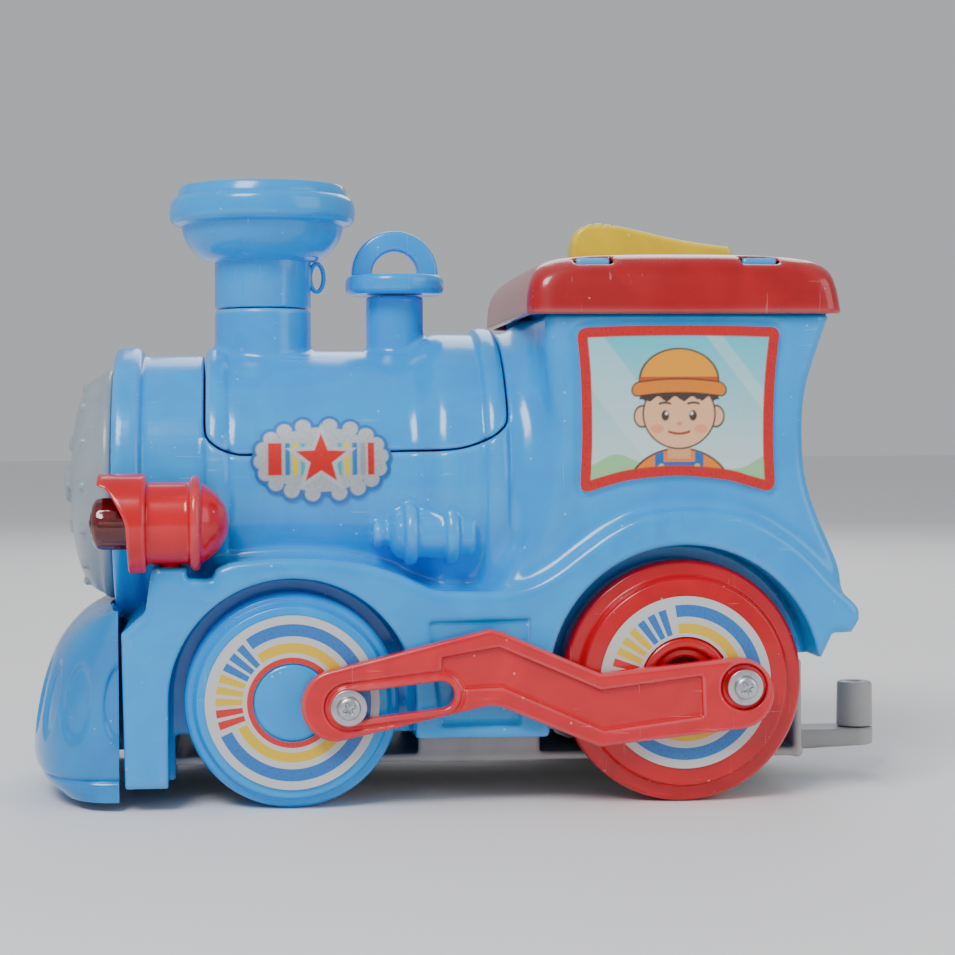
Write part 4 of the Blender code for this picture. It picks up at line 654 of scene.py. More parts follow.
# --- The whistle ----------------------------------------------------------------------------------
# The toy's whistle is a blue disc with a flat upright hoop on it, moulded in one, pressed onto the
# cover's rear foot.
disc = eased([(126.0, 0), (126.0, 12.0), (127.2, 12.8), (129.8, 12.8), (131.0, 12.0), (131.0, 0)], 0.6)
t = np.radians(np.linspace(-16, 196, 61))
arch_path = np.stack([WHISTLE_X + 8.55 * np.cos(t), 131.4 + 8.6 * np.sin(t)], 1)
t = np.linspace(0, 2 * np.pi, 28, endpoint=False)
flat_ring = np.stack([2.7 * np.sign(np.cos(t)) * np.abs(np.cos(t)) ** 0.45,
                      2.2 * np.sign(np.sin(t)) * np.abs(np.sin(t)) ** 0.45], 1)
made = gathered(turned(disc, "Z", (WHISTLE_X, 0, 0)), swept(arch_path, flat_ring))
crisp(piece("whistle", *made, sky_blue, "locomotive", "whistle_cap", "blue_plastic"), 40)

# --- The smokebox door ----------------------------------------------------------------------------
# The boiler's front end is closed by a separate domed door in pale grey plastic, pushed into the body.
# It has a row of rivets, two hinge straps and a round knob in the middle, all moulded on.
DOOR = [(-40.9, 0), (-40.9, 26.6), (-43.8, 26.7), (-43.8, 29.3), (-45.4, 29.4), (-46.4, 28.9), (-46.9, 28.2),
        *flowing([(-47.4, 28.0), (-50.0, 26.4), (-52.4, 22.6), (-54.0, 16.8), (-54.8, 10.0), (-55.0, 6.0)], 4),
        (-55.1, 5.0), (-56.6, 4.8), (-57.1, 3.6), (-57.2, 0)]


def door_field(x, y, z):
    """The domed door with straps that follow the dome at 0.8 mm above it, and a ring of rivets."""
    up = z - BOILER_Z
    radius = np.hypot(y, up)
    made = turned_distance(eased(DOOR, 0.7, 3), x, radius)
    strap = np.maximum(np.abs(np.abs(up) - 10.5) - 1.6, np.maximum(np.abs(y - 9) - 17.5, radius - 27.4))
    made = joined(made, common(made - 0.8, strap, 0.5), 0.5)
    turn = (np.arctan2(up, y) + np.pi / 14) % (np.pi / 7) - np.pi / 14
    rivet = np.sqrt((radius * np.cos(turn) - 25.2) ** 2 + (radius * np.sin(turn)) ** 2 + (x + 51.0) ** 2) - 1.2
    bar = brick(x, y, up, (-56.6, -8.5, -0.9), (-54.0, 8.5, 0.9), 0.7)
    return np.minimum(joined(made, rivet, 0.4), bar)


door_grey = plastic("door_grey_plastic", (150, 163, 170), (138, 152, 160), 0.3, 0.2, 0.15)
moulding("smokebox_door", skin(door_field, (-59, -31, 46.5), (-39.4, 31, 108.5), 0.6), door_grey,
         "smokebox_door", "door_grey")

# --- The cowcatcher -------------------------------------------------------------------------------
# A bulging apron in a deeper blue plastic in front of the frame plates, hollow behind, with upright
# oval dimples all round it and a groove above its foot.
apron_blue = plastic("apron_blue_plastic", (0, 140, 214), (0, 128, 202), 0.2)
reach_z, reach_x = np.array(flowing([(2.3, 16.4), (6.0, 20.9), (11.0, 23.0), (19.0, 22.6), (29.0, 20.5),
                                     (37.0, 17.5), (43.0, 13.2), (46.4, 8.4), (48.2, 2.4)], 13)).T
APRON_HALF, APRON_BACK = 43.5, -41.4


def squared(part):
    """A sine or cosine drawn out, so that an ellipse gets fuller corners."""
    return np.sign(part) * np.abs(part) ** 0.74


TURN = np.radians(np.linspace(-90, 90, 1801))
ROUND = np.hypot(np.diff(21.2 * squared(np.cos(TURN).clip(0))), np.diff(APRON_HALF * squared(np.sin(TURN))))
ROUND = np.concatenate([[0], np.cumsum(ROUND)]) - ROUND.sum() / 2  # way round the apron at the dimples, from its middle


def apron_sheet(inward):
    """One face of the apron: half of a squared ellipse at each height, its reach from the table above."""
    a = np.interp(np.linspace(-ROUND[-1], ROUND[-1], 281), ROUND, TURN)[None]
    z, reach = reach_z[:, None], np.maximum(reach_x - inward, 0.3)[:, None]
    x = APRON_BACK - reach * squared(np.cos(a).clip(0))
    y = (APRON_HALF - inward) * squared(np.sin(a)) + 0 * z
    z = z + 0 * a - np.where(z > 40, inward, 0)
    if not inward:
        gap = np.interp(np.radians(68), TURN, ROUND) / 4
        across = (np.interp(a, TURN, ROUND) + gap / 2) % gap - gap / 2
        dimple = np.hypot(across / 4.1, (z - 26.0) / 9.6)
        groove = np.exp(-(((z - 7.4) / 0.55) ** 2))
        push = -0.85 * np.clip((1.06 - dimple) / 0.2, 0, 1) ** 1.5 - 0.7 * groove
        x = x - push * np.cos(a)
        y = y + push * np.sin(a)
    room = np.where(x > -44.4, 35.6, 30.0)
    z = np.where(np.hypot(y, z - BOILER_Z) < room, BOILER_Z - np.sqrt(np.maximum(room**2 - y**2, 0)), z)
    return np.stack([x, y, z], -1)


outer, inner = apron_sheet(0), apron_sheet(WALL)
loop = np.concatenate([outer, inner[::-1]])
rows, columns = loop.shape[:2]
row, column = np.arange(rows)[:, None], np.arange(columns - 1)[None]
after = (row + 1) % rows
faces = np.stack([row * columns + column, row * columns + column + 1, after * columns + column + 1,
                  after * columns + column], -1).reshape(-1, 4)
half_rows = np.arange(rows // 2 - 1)[:, None]
ends = [np.stack([half_rows * columns + c, (half_rows + 1) * columns + c, (rows - 2 - half_rows) * columns + c,
                  (rows - 1 - half_rows) * columns + c], -1).reshape(-1, 4)[:, ::way]
        for c, way in ((0, 1), (columns - 1, -1))]
made = closed(loop.reshape(-1, 3), np.concatenate([faces, *ends]))
crisp(piece("cowcatcher", *made, apron_blue, "locomotive", "cowcatcher", "blue_plastic"), 50)

# --- The lamps ------------------------------------------------------------------------------------
# Two red lamps stand on the front fenders: a round-backed barrel with a collar and a hoop, and a hood
# drawn forward over a dark clear-red lens, which is pushed in from the front.
LAMP = [(-38.7, 0), (-38.7, 11.6), (-38.2, 12.0), (-34.9, 12.0), (-34.4, 11.5), (-34.4, 9.9), (-24.4, 9.9),
        (-24.1, 10.9), (-23.4, 11.5), (-22.4, 11.5), (-21.7, 10.9), (-21.5, 9.8), (-19.6, 8.6), (-17.4, 6.7),
        (-15.8, 4.4), (-15.0, 2.2), (-14.8, 0)]
lamp_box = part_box("lamp_lens_left")
LAMP_Z = (lamp_box[0].z + lamp_box[1].z) / 2 / MM
LAMP_Y = (lamp_box[0].y + lamp_box[1].y) / 2 / MM


def lamp_field(x, y, z):
    """Barrel and collar, the hood ahead of a slanted cut with a small corner at its tip, and the lens's bore."""
    up, radius = z - LAMP_Z, np.hypot(y - LAMP_Y, z - LAMP_Z)
    made = turned_distance(eased(LAMP, 0.4, 2), x, radius)
    tube = common(np.abs(radius - 11.05) - 0.95, np.maximum(x + 36, -46.0 - x), 0.4)
    slant = outline_distance([*flowing([(-38.6, -14), (-38.9, -2), (-39.8, 2.0), (-42.4, 6.6), (-44.0, 8.6)], 4),
                              (-46.6, 9.4), (-46.2, 13), (-30, 13), (-30, -14)], x, up)
    hood = common(tube, slant, 0.4)
    nub = common(np.hypot(x + 29, y - LAMP_Y - 1) - 2.6, np.abs(up + 10.2) - 1.7, 0.4)
    made = np.minimum(np.minimum(made, hood), nub)
    made = common(made, -np.maximum(radius - 6.6, x + 29), 0.4)
    return common(made, 35.5 - np.hypot(y, z - BOILER_Z), 0.3)


lamp_red = plastic("lamp_red_plastic", (216, 0, 28), (196, 0, 20), 0.2, 0.25)
both_sides("lamp_housing", skin(lamp_field, (-47.2, -55, 55.5), (-13.6, -30, 82.5), 0.45), lamp_red, "red_plastic")

clear_red = bpy.data.materials.new("clear_red_plastic")
clear_red.use_nodes = True
tree = clear_red.node_tree
shader = tree.nodes["Principled BSDF"]
haze = noise(tree, socket(tree, "ShaderNodeTexCoord").outputs["Object"], 240, 3)
tint = mixed(tree, ramp(tree, haze, 0.35, 0.7), (0.30, 0.004, 0.010, 1), (0.16, 0.002, 0.006, 1))
tree.links.new(tint, shader.inputs["Base Color"])
tree.links.new(times(tree, haze, 0.18), shader.inputs["Roughness"])
tree.links.new(socket(tree, "ShaderNodeBump", {"Height": haze, "Strength": 0.3, "Distance": 0.0003}).outputs[0],
               shader.inputs["Normal"])
shader.inputs["Transmission Weight"].default_value = 0.55
shader.inputs["Coat Weight"].default_value = 0.6
LENS = eased([(-29.4, 0), (-29.4, 6.3), (-44.9, 6.3), (-46.4, 5.9), (-47.4, 4.6), (-46.9, 3.6), (-47.9, 2.6),
              (-47.5, 1.6), (-48.2, 0.9), (-48.2, 0)], 0.4)
points, faces = turned(LENS, "X", (0, LAMP_Y, LAMP_Z), 64)
turn = np.arctan2(points[:, 2] - LAMP_Z, points[:, 1] - LAMP_Y)
ribs = np.where((points[:, 0] > -46) & (points[:, 0] < -30), 1 - 0.02 * (1 + np.cos(turn * 16)), 1)[:, None]
points[:, 1:] = (LAMP_Y, LAMP_Z) + (points[:, 1:] - (LAMP_Y, LAMP_Z)) * ribs
both_turned("lamp_lens", (points, faces), clear_red, "lens_red", 40)

# --- The cab roof ---------------------------------------------------------------------------------
# A pillow-topped red moulding, open below, that sits on the cab and is held by four blue clips, whose
# slots show near its top edge. A slot along the middle lets the yellow lever through.
roof_red = plastic("roof_red_plastic", (178, 0, 16), (160, 0, 10), 0.17, 0.3, 0.3)
ROOF_SIDE = [(57.5, 100.0), *flowing([(57.3, 118.0), (57.9, 125.6), (60.2, 130.2), (64.3, 133.2), (72.0, 134.9),
                                      (84.0, 135.8), (96.0, 136.0), (108.0, 135.8), (119.6, 134.8), (127.6, 133.2),
                                      (131.9, 130.0), (133.7, 125.4), (134.9, 118.8)], 6), (134.9, 100.0)]
ROOF_FRONT = [(-45, 100), *flowing([(-45, 118.0), (-44.5, 126.4), (-42.6, 130.9), (-39.0, 133.6), (-32.0, 135.2),
                                      (-20.0, 135.9), (0, 136.2), (20.0, 135.9), (32.0, 135.2), (39.0, 133.6),
                                      (42.6, 130.9), (44.5, 126.4), (45, 118.0)], 6), (45, 100)]


def roof_field(x, y, z):
    """Where the side outline and the end outline overlap, with round corners, hollowed, slotted and with two lugs."""
    side, end = outline_distance(ROOF_SIDE, x, z), outline_distance(ROOF_FRONT, y, z)
    pillow = common(side, end, 5.0)
    outer = common(pillow, 118.8 - z, 0.5)
    made = common(outer, -(pillow + WALL), 0.4)
    rim = brick(x, y, z, (73.2, -6.2, 131), (118.0, 6.2, 135.2), 0.5)
    lugs = brick(x, np.abs(y), z, (110.2, 4.4, 129.4), (116.2, 6.9, 135), 0.5)
    made = np.minimum(made, np.minimum(common(rim, outer, 0.3), lugs))
    made = common(made, -brick(x, y, z, (73.0, -4.3, 120), (118.2, 4.3, 150), 0.6), 0.4)
    for start in (69.0, 110.0):
        made = common(made, -brick(x, np.abs(y), z, (start, 37.5, 130.9), (start + 9.6, 60, 132.7), 0.4), 0.35)
    return made


moulding("cab_roof", skin(roof_field, (55.6, -47, 116.6), (137, 47, 138), 0.75), roof_red, "cab_roof", "roof_red")

# --- The lever in the roof ------------------------------------------------------------------------
# A yellow wedge, 8 mm thick with rounded edges, that rocks on a steel pin. Pressing it stops the motor.
lever_yellow = plastic("lever_yellow_plastic", (242, 214, 0), (226, 196, 0), 0.28, 0.2, 0.2)
LEVER = [(74.4, 131.2), (74.3, 137.0), *flowing([(74.5, 139.6), (76.0, 142.6), (79.0, 144.3), (82.6, 144.5),
                                                 (90.0, 143.2), (100.0, 140.9), (109.0, 139.3), (115.7, 138.5)], 6),
         (116.7, 137.4), (116.8, 133.4), (115.4, 130.6), (112.6, 129.7), (107.0, 130.7)]
LEVER_PIN = (113.2, 132.2)


def lever_field(x, y, z):
    """The wedge's outline carried across, less the fine grooves across its high end and the pin's hole."""
    made = common(outline_distance(LEVER, x, z), np.abs(y) - 4.0, 1.1)
    grip = np.maximum(np.abs((x % 2.4) - 1.2) - 0.35, np.maximum(np.abs(x - 82) - 5.0, 143.6 - z))
    made = common(made, -(grip + 0.1), 0.2)
    return common(made, 1.5 - np.hypot(x - LEVER_PIN[0], z - LEVER_PIN[1]), 0.2)


moulding("roof_lever", skin(lever_field, (73, -5, 128.5), (118, 5, 146), 0.4), lever_yellow, "stop_lever",
         "yellow_plastic", "brake_lever")

# --- The window labels ----------------------------------------------------------------------------
# Each cab side has a varnished paper label with a red border. It shows a window with sky, glare and
# a driver in a cap, drawn plainly as a friendly figure that is nobody in particular.


def printed_effect():
    """A printed, varnished label: faint paper fibre, small dull scuffs and a thin wavy varnish."""
    tree, given, at = effect("printed_label", Ink=(1, 1, 1, 1), Gloss=0.3)
    fibre, wave = noise(tree, at, 1400, 2), noise(tree, at, 70, 2)
    worn = ramp(tree, noise(tree, at, 330, 4), 0.70, 0.76)
    colour = mixed(tree, times(tree, fibre, 0.06), given["Ink"], (0.42, 0.42, 0.40, 1))
    rough = reckoned(tree, "ADD", given["Gloss"], times(tree, fibre, 0.14))
    rough = reckoned(tree, "ADD", rough, times(tree, worn, 0.06))
    height = reckoned(tree, "ADD", wave, times(tree, fibre, 0.06))
    return give(tree, colour, rough, height, 0.25, 0.0003)


PRINTED = printed_effect()


def printed(name, gloss, fixed):
    """A label's material: the ink colours come from the piece's own ink attribute."""
    paint = finish_from(name, PRINTED, {"Gloss": gloss}, SKIN, fixed)
    tree = paint.node_tree
    ink = socket(tree, "ShaderNodeAttribute", attribute_name="ink")
    group = next(n for n in tree.nodes if n.type == "GROUP")
    tree.links.new(ink.outputs["Color"], group.inputs["Ink"])
    return paint


paper = printed("varnished_paper", 0.22, {"Coat Weight": 0.35, "Coat Roughness": 0.1})


def sheet(edge_of, low, high, step, place, ink_of, thick):
    """A thin label: the cells of a flat grid inside an edge (a distance that is negative inside), with the outer points
    drawn onto the edge, a second face so much behind, and a rim. Each point of the front has its own colour."""
    u, v = np.meshgrid(np.arange(low[0], high[0], step), np.arange(low[1], high[1], step), indexing="ij")
    d = edge_of(u, v)
    du, dv = np.gradient(d, step)
    length = np.maximum(np.hypot(du, dv), 1e-6) ** 2
    inside = d < 0.5 * step
    keep = inside[:-1, :-1] & inside[1:, :-1] & inside[1:, 1:] & inside[:-1, 1:]
    index = np.arange(u.size).reshape(u.shape)
    faces = np.stack([index[:-1, :-1], index[1:, :-1], index[1:, 1:], index[:-1, 1:]], -1)[keep]
    sides = np.concatenate([faces[:, [k, (k + 1) % 4]] for k in range(4)])
    key = np.sort(sides, 1) @ np.array([u.size, 1])
    _, first, count = np.unique(key, return_index=True, return_counts=True)
    rim = sides[first[count == 1]]
    border = np.zeros(u.size, bool)
    border[rim] = True
    move = np.where(border.reshape(u.shape), d / length, 0)
    u, v = u - move * du, v - move * dv
    shades = ink_of(u.reshape(-1), v.reshape(-1))
    used, faces_rim = np.unique(faces, return_inverse=True)
    faces_rim = faces_rim.reshape(-1, 4)
    rim = np.searchsorted(used, rim)
    u, v = u.reshape(-1)[used], v.reshape(-1)[used]
    front, back = place(u, v, 0), place(u, v, thick)
    n = len(used)
    walls = np.stack([rim[:, 1], rim[:, 0], rim[:, 0] + n, rim[:, 1] + n], 1)
    everything = np.concatenate([faces_rim, faces_rim[:, ::-1] + n, walls])
    colours = np.full((4 * len(everything), 3), 0.6)
    colours[:4 * len(faces)] = shades[faces.reshape(-1)]
    corners = np.concatenate([colours, np.ones((len(colours), 1))], 1)
    return np.concatenate([front, back]), everything, corners


def ink(*colour):
    """A printing colour, made a quarter purer, because the varnish's own shine greys it."""
    made = np.array(linear(*colour)[:3])
    return np.clip(made + 0.25 * (made - made.mean()), 0, 1)


def layered(ground, *layers):
    """Colours over a ground: each (distance, colour) covers what lies under it where its distance is negative, and its
    edge fades over a quarter of a millimetre, as ink does."""
    made = np.array(np.broadcast_to(ground, (len(layers[0][0]), 3)))
    for distance, colour in layers:
        cover = np.clip(0.5 - np.asarray(distance) / 0.25, 0, 1)[:, None]
        made = made * (1 - cover) + colour * cover
    return made


def oval(x, z, centre_x, centre_z, half_x, half_z):
    """Distance to an upright oval, near enough for printing."""
    return (np.hypot((x - centre_x) / half_x, (z - centre_z) / half_z) - 1) * min(half_x, half_z)


def window_ink(x, z):
    """Border, sky from deep to pale, a slanting glare band, hills, and the driver's head, cap and shoulders."""
    border = -2.5 - outline_distance(WINDOW, x, z)
    down = np.clip((114 - z) / 34, 0, 1)[:, None]
    sky_ink = ink(104, 196, 214) * (1 - down) + ink(206, 220, 218) * down
    slant = (x - 74) * 0.80 - (112 - z) * 0.62
    band_1, band_2 = np.abs(slant + 3) - 5.2, np.abs(slant - 24) - 1.6
    glare = np.clip(0.5 - np.minimum(band_1, band_2) / 0.5, 0, 1)[:, None] * 0.3
    sky_ink = sky_ink * (1 - glare) + ink(232, 236, 236) * glare
    mid_x, mid_z = 94.2, 94.6
    side = np.abs(x - mid_x)
    head = oval(x, z, mid_x, mid_z, 8.6, 8.2)
    ears = oval(side, z, 9.0, 94.0, 1.8, 2.3)
    hair = np.maximum(oval(x, z, mid_x, mid_z + 2.0, 9.9, 9.4), 97.4 + 0.7 * np.sin(x * 1.35) - z)
    crown = np.maximum(oval(x, z, mid_x, 102.8, 9.4, 7.4), 102.2 - z)
    band = np.maximum(np.abs(z - 102.4) - 1.2, side - 9.5)
    peak = np.hypot(np.maximum(side - 9.9, 0), z - 101.4 + 0.008 * side**2) - 1.5
    eyes = oval(side, z, 3.4, 94.2, 0.95, 1.3)
    glint = oval(side, z, 3.1, 94.7, 0.35, 0.4)
    brows = np.maximum(np.abs(z - 97.3 + (side - 3.5) ** 2 * 0.12) - 0.28, np.abs(side - 3.5) - 1.5)
    nose = oval(x, z, mid_x, 92.2, 0.7, 0.5)
    mouth = np.maximum(np.abs(z - 89.8 - (x - mid_x) ** 2 * 0.075) - 0.3, side - 2.7)
    cheeks = oval(side, z, 5.4, 91.0, 1.6, 1.1)
    neck = np.maximum(side - 2.8, np.abs(z - 86.2) - 2.4)
    coat = oval(x, z, mid_x, 75.6, 12.5, 10.4)
    bib = np.maximum(np.maximum(side - 5.6, z - 83.0), coat)
    straps = np.maximum(np.maximum(np.abs(side - 4.9) - 1.1, z - 86.0), coat)
    buttons = oval(side, z, 4.4, 81.8, 0.7, 0.7)
    hills = z - 82.0 - 2.2 * np.sin((x - 70) * 0.16) - 0.7 * np.sin(x * 0.5)
    dark, skin_ink = ink(60, 44, 40), ink(232, 186, 152)
    return layered(
        sky_ink, (hills, ink(150, 196, 150)), (coat - 0.45, dark), (coat, ink(226, 134, 30)), (bib, ink(56, 100, 168)),
        (straps, ink(56, 100, 168)), (buttons, ink(222, 196, 60)), (neck, ink(214, 164, 130)), (ears - 0.4, dark),
        (ears, skin_ink), (hair, dark), (head - 0.4, dark), (head, skin_ink), (cheeks, ink(228, 160, 132)),
        (np.maximum(hair, 98.2 + 0.6 * np.sin(x * 1.5) - z), dark), (eyes, dark), (glint, ink(240, 240, 240)),
        (brows, dark), (nose, ink(206, 146, 116)), (mouth, ink(150, 52, 48)), (crown - 0.4, dark),
        (crown, ink(230, 160, 36)), (band, ink(186, 88, 32)), (peak - 0.35, dark), (peak, ink(214, 132, 30)),
        (border, ink(186, 18, 36)))


def window_edge(x, z):
    """Distance to the label's edge."""
    return outline_distance(WINDOW, x, z)


def on_cab(sign):
    """Lays the flat label on the cab's side."""
    return lambda x, z, deep: np.stack([x, np.full_like(x, sign * (43.15 - deep)), z], -1)


def labels(name, edge_of, low, high, wrap, ink_of, thick, paint, node, slot):
    """A label on each side, each printed the right way round."""
    for side, way in BOTH:
        points, faces, inks = sheet(edge_of, low, high, 0.24, wrap(-way), ink_of, thick)
        piece(f"{name}_{side}", points, faces[:, ::way], paint, "locomotive", f"{node}_{side}", slot, inks=inks)


labels("window_label", window_edge, (67, 73), (121, 118.4), on_cab, window_ink, 0.35, paper, "cab_label",
       "label_paper")

# --- The boiler labels ----------------------------------------------------------------------------
# A cloud-shaped label of silver foil on each side of the boiler, with a blue scalloped edge and a
# plain red star between coloured stripes.
foil = printed("silver_foil", 0.3, {"Metallic": 0.35, "Coat Weight": 0.3, "Coat Roughness": 0.12})
turns = np.radians(np.arange(0, 360, 20) + 4)
BADGE_X = 7.7
CLOUD = np.stack([BADGE_X + 14.6 * np.sign(np.cos(turns)) * np.abs(np.cos(turns)) ** 0.85, 8.5 * np.sin(turns)], 1)


def cloud_edge(x, s):
    """Distance to a ring of round scallops about an oval; s is measured round the boiler from the label's middle."""
    bumps = np.hypot(x[..., None] - CLOUD[:, 0], s[..., None] - CLOUD[:, 1]).min(-1) - 2.75
    middle = (np.hypot((x - BADGE_X) / 15.0, s / 9.0) - 1) * 8.0
    return np.minimum(bumps, middle)


def star_distance(x, s, radius):
    """Distance to a five-pointed star: the point is folded into half of one arm and measured from that arm's edge."""
    angle = (np.arctan2(x, s) + np.pi / 5) % (2 * np.pi / 5) - np.pi / 5
    r = np.hypot(x, s)
    px, py = r * np.cos(angle), r * np.abs(np.sin(angle))
    tip, notch = np.array((radius, 0)), radius * 0.42 * np.array((np.cos(np.pi / 5), np.sin(np.pi / 5)))
    line = notch - tip
    return ((px - tip[0]) * line[1] - (py - tip[1]) * line[0]) / np.hypot(*line)


def foil_ink(x, s):
    """Blue scalloped edge, silver ground with fine glitter, stripes to the left and right, and a star on them."""
    rng = np.random.default_rng(7)
    ground = ink(178, 184, 188) * rng.uniform(0.8, 1.1, len(x))[:, None]
    field = np.maximum(np.abs(s) - 4.0, np.abs(x - BADGE_X) - 13.2)
    layers = [(-0.85 - cloud_edge(x, s), ink(40, 108, 176))]
    bars = ((-13.0, -9.6, (198, 40, 54)), (-8.8, -7.6, (49, 121, 180)), (-6.9, -5.7, (222, 196, 50)),
            (-5.0, -4.0, (60, 170, 190)), (4.0, 5.0, (60, 170, 190)), (5.7, 6.9, (222, 196, 50)),
            (7.6, 8.8, (49, 121, 180)), (9.6, 10.8, (150, 156, 160)), (11.4, 13.0, (198, 40, 54)))
    for start, end, colour in bars:
        bar = np.abs(x - BADGE_X - (start + end) / 2) - (end - start) / 2
        layers.append((np.maximum(field, bar), ink(*colour)))
    star = star_distance(x - BADGE_X, s + 0.1, 6.6)
    return layered(ground, *layers, (star - 0.9, ink(186, 192, 196)), (star, ink(200, 34, 50)))


MIDDLE = np.arcsin((84.05 - BOILER_Z) / 34.4)


def on_boiler(sign):
    """Wraps the flat label onto the boiler's side, which it clears by its own thickness."""
    def place(x, s, deep):
        turn = MIDDLE + s / 34.6
        radius = 34.62 - deep
        return np.stack([x, sign * radius * np.cos(turn), BOILER_Z + radius * np.sin(turn)], -1)
    return place


labels("boiler_badge", cloud_edge, (-11.5, -13.2), (27, 13.2), on_boiler, foil_ink, 0.4, foil, "boiler_label",
       "label_foil")

# --- The chassis ----------------------------------------------------------------------------------
# A pale grey moulded tray closes the underside. It has side flanges, posts that carry the axles, a rear
# wall, four recessed screws and a drawbar behind, on which a round coupling post stands.
chassis_grey = plastic("chassis_grey_plastic", (176, 174, 172), (164, 162, 160), 0.36, 0.15, 0.08)
screw_spots = [(-17.0, 23.0), (115.2, 23.0)]


def chassis_field(x, y, z):
    """Tray, flanges, axle posts with bores, rear wall, raised rings round the screw pockets, and drawbar."""
    across = np.abs(y)
    made = brick(x, y, z, (-37.5, -29, 8.7), (128.3, 29, 10.7), 0.6)
    made = joined(made, brick(x, y, z, (126.3, -29, 8.7), (128.3, 29, 33.0), 0.6), 1.0)
    made = joined(made, brick(x, across, z, (31.6, 27, 8.7), (62.0, 29, 16.7), 0.5), 0.6)
    for wheel_x, wheel_z in AXLES:
        post = brick(x, across, z, (wheel_x - 5, 25, 8.7), (wheel_x + 5, 29, wheel_z + 5), 0.7)
        made = joined(made, post, 0.8)
        made = common(made, 2.3 - np.hypot(x - wheel_x, z - wheel_z), 0.2)
    for spot_x, spot_y in screw_spots:
        far = np.hypot(x - spot_x, across - spot_y)
        made = joined(made, np.maximum(far - 5.4, np.abs(z - 11.2) - 1.5), 0.5)
        made = common(made, -np.maximum(far - 3.5, z - 10.7), 0.3)
        made = np.maximum(made, 1.5 - far)
    bar_side = outline_distance([(119, 9.7), (120.3, 6.1), (155, 7.6), (155, 11.9), (126, 11.9)], x, z)
    bar = common(bar_side, across - 6.0, 0.7)
    tip_x = 149
    tip = np.where(x > tip_x, np.hypot(x - tip_x, y) - 6.0, -1)
    return joined(made, np.maximum(bar, tip), 0.8)


moulding("chassis_tray", skin(chassis_field, (-39.5, -31, 4.5), (157, 31, 36), 0.8), chassis_grey, "chassis_plate",
         "grey_plastic")
post = eased([(12.2, 0), (12.2, 4.7), (23.3, 4.55), (23.9, 4.0), (23.9, 1.9), (22.6, 1.7), (22.6, 0)], 0.4)
crisp(piece("coupling_post", *turned(post, "Z", (150.3, 0, 0), 64), chassis_grey, "locomotive", "coupling_post",
            "grey_plastic"))

# --- Screws ---------------------------------------------------------------------------------------
# Zinc-plated pan-head screws with crossed slots. Those of the cranks sit on wide washers that keep the
# rods on their pins, and four more hold the chassis from below.


def metal_effect():
    """Plated or drawn steel: spangled patches, fine lines round the part, dull spots and tiny pits."""
    tree, given, at = effect("plated_metal", Colour=(0.5, 0.5, 0.5, 1), Dull=(0.3, 0.3, 0.3, 1), Gloss=0.3, Spots=0.5)
    spangle = socket(tree, "ShaderNodeTexVoronoi", {"Vector": at, "Scale": 700}).outputs["Color"]
    spangle = socket(tree, "ShaderNodeSeparateColor", {"Color": spangle}).outputs["Red"]
    cloud = noise(tree, at, 300, 4)
    lines = streaks(tree, at, (0, 0, 0), (2600, 120, 2600), 2)
    dull = times(tree, ramp(tree, cloud, 0.5, 0.72), given["Spots"])
    colour = mixed(tree, times(tree, spangle, 0.25), given["Colour"], given["Dull"])
    colour = mixed(tree, dull, colour, given["Dull"])
    rough = reckoned(tree, "ADD", given["Gloss"], times(tree, dull, 0.3))
    rough = reckoned(tree, "ADD", rough, times(tree, lines, 0.12))
    height = reckoned(tree, "ADD", times(tree, lines, 0.4), times(tree, cloud, 0.6))
    return give(tree, colour, rough, height, 0.3, 0.0001)


PLATED = metal_effect()


def metal(name, colour, dull, gloss, spots):
    """Plated or drawn steel in a colour, with a duller one in its spangles and spots."""
    return finish_from(name, PLATED, {"Colour": linear(*colour), "Dull": linear(*dull), "Gloss": gloss, "Spots": spots},
                       SKIN, {"Metallic": 1.0})


zinc = metal("zinc_plate", (205, 207, 212), (150, 154, 160), 0.26, 0.6)


def screw_head(profile, depth, seat_y):
    """A pan head turned about y, with a crossed slot pressed into its outer face: points near either line through
    the middle are pushed in, deeper towards the middle."""
    points, faces = turned(profile, "Y", (0, 0, 0), 72)
    x, z = points[:, 0], points[:, 2]
    turn, slot_half, reach = np.radians(28), 0.48, 1.75
    a, b = x * np.cos(turn) + z * np.sin(turn), -x * np.sin(turn) + z * np.cos(turn)
    aside, arm = np.minimum(np.abs(a), np.abs(b)), np.maximum(np.abs(a), np.abs(b))
    push = np.clip((slot_half - aside) / 0.16, 0, 1) * np.clip((reach - arm) / 0.4, 0, 1)
    points[:, 1] += np.where(points[:, 1] < seat_y, push * depth * (1 - 0.45 * arm / reach), 0)
    return points, faces


def washer_screw(name, washer, head, depth, seat_y, x, z, body):
    """A screw on its washer, on both sides."""
    points, faces = gathered(turned(eased(washer, 0.25), "Y", (0, 0, 0), 72),
                             screw_head(fine(eased(head, 0.4)), depth, seat_y))
    both_turned(name, (points + (x, 0, z), faces), zinc, "zinc_steel", 40, body)


def fine(points, step=0.16):
    """The same profile with a point at least every so many mm."""
    p = np.asarray(points, float)
    made = [p[:1]]
    for a, b in zip(p[:-1], p[1:]):
        n = max(int(np.ceil(np.hypot(*(b - a)) / step)), 1)
        made.append(a + (b - a) * (np.arange(1, n + 1) / n)[:, None])
    return np.vstack(made)


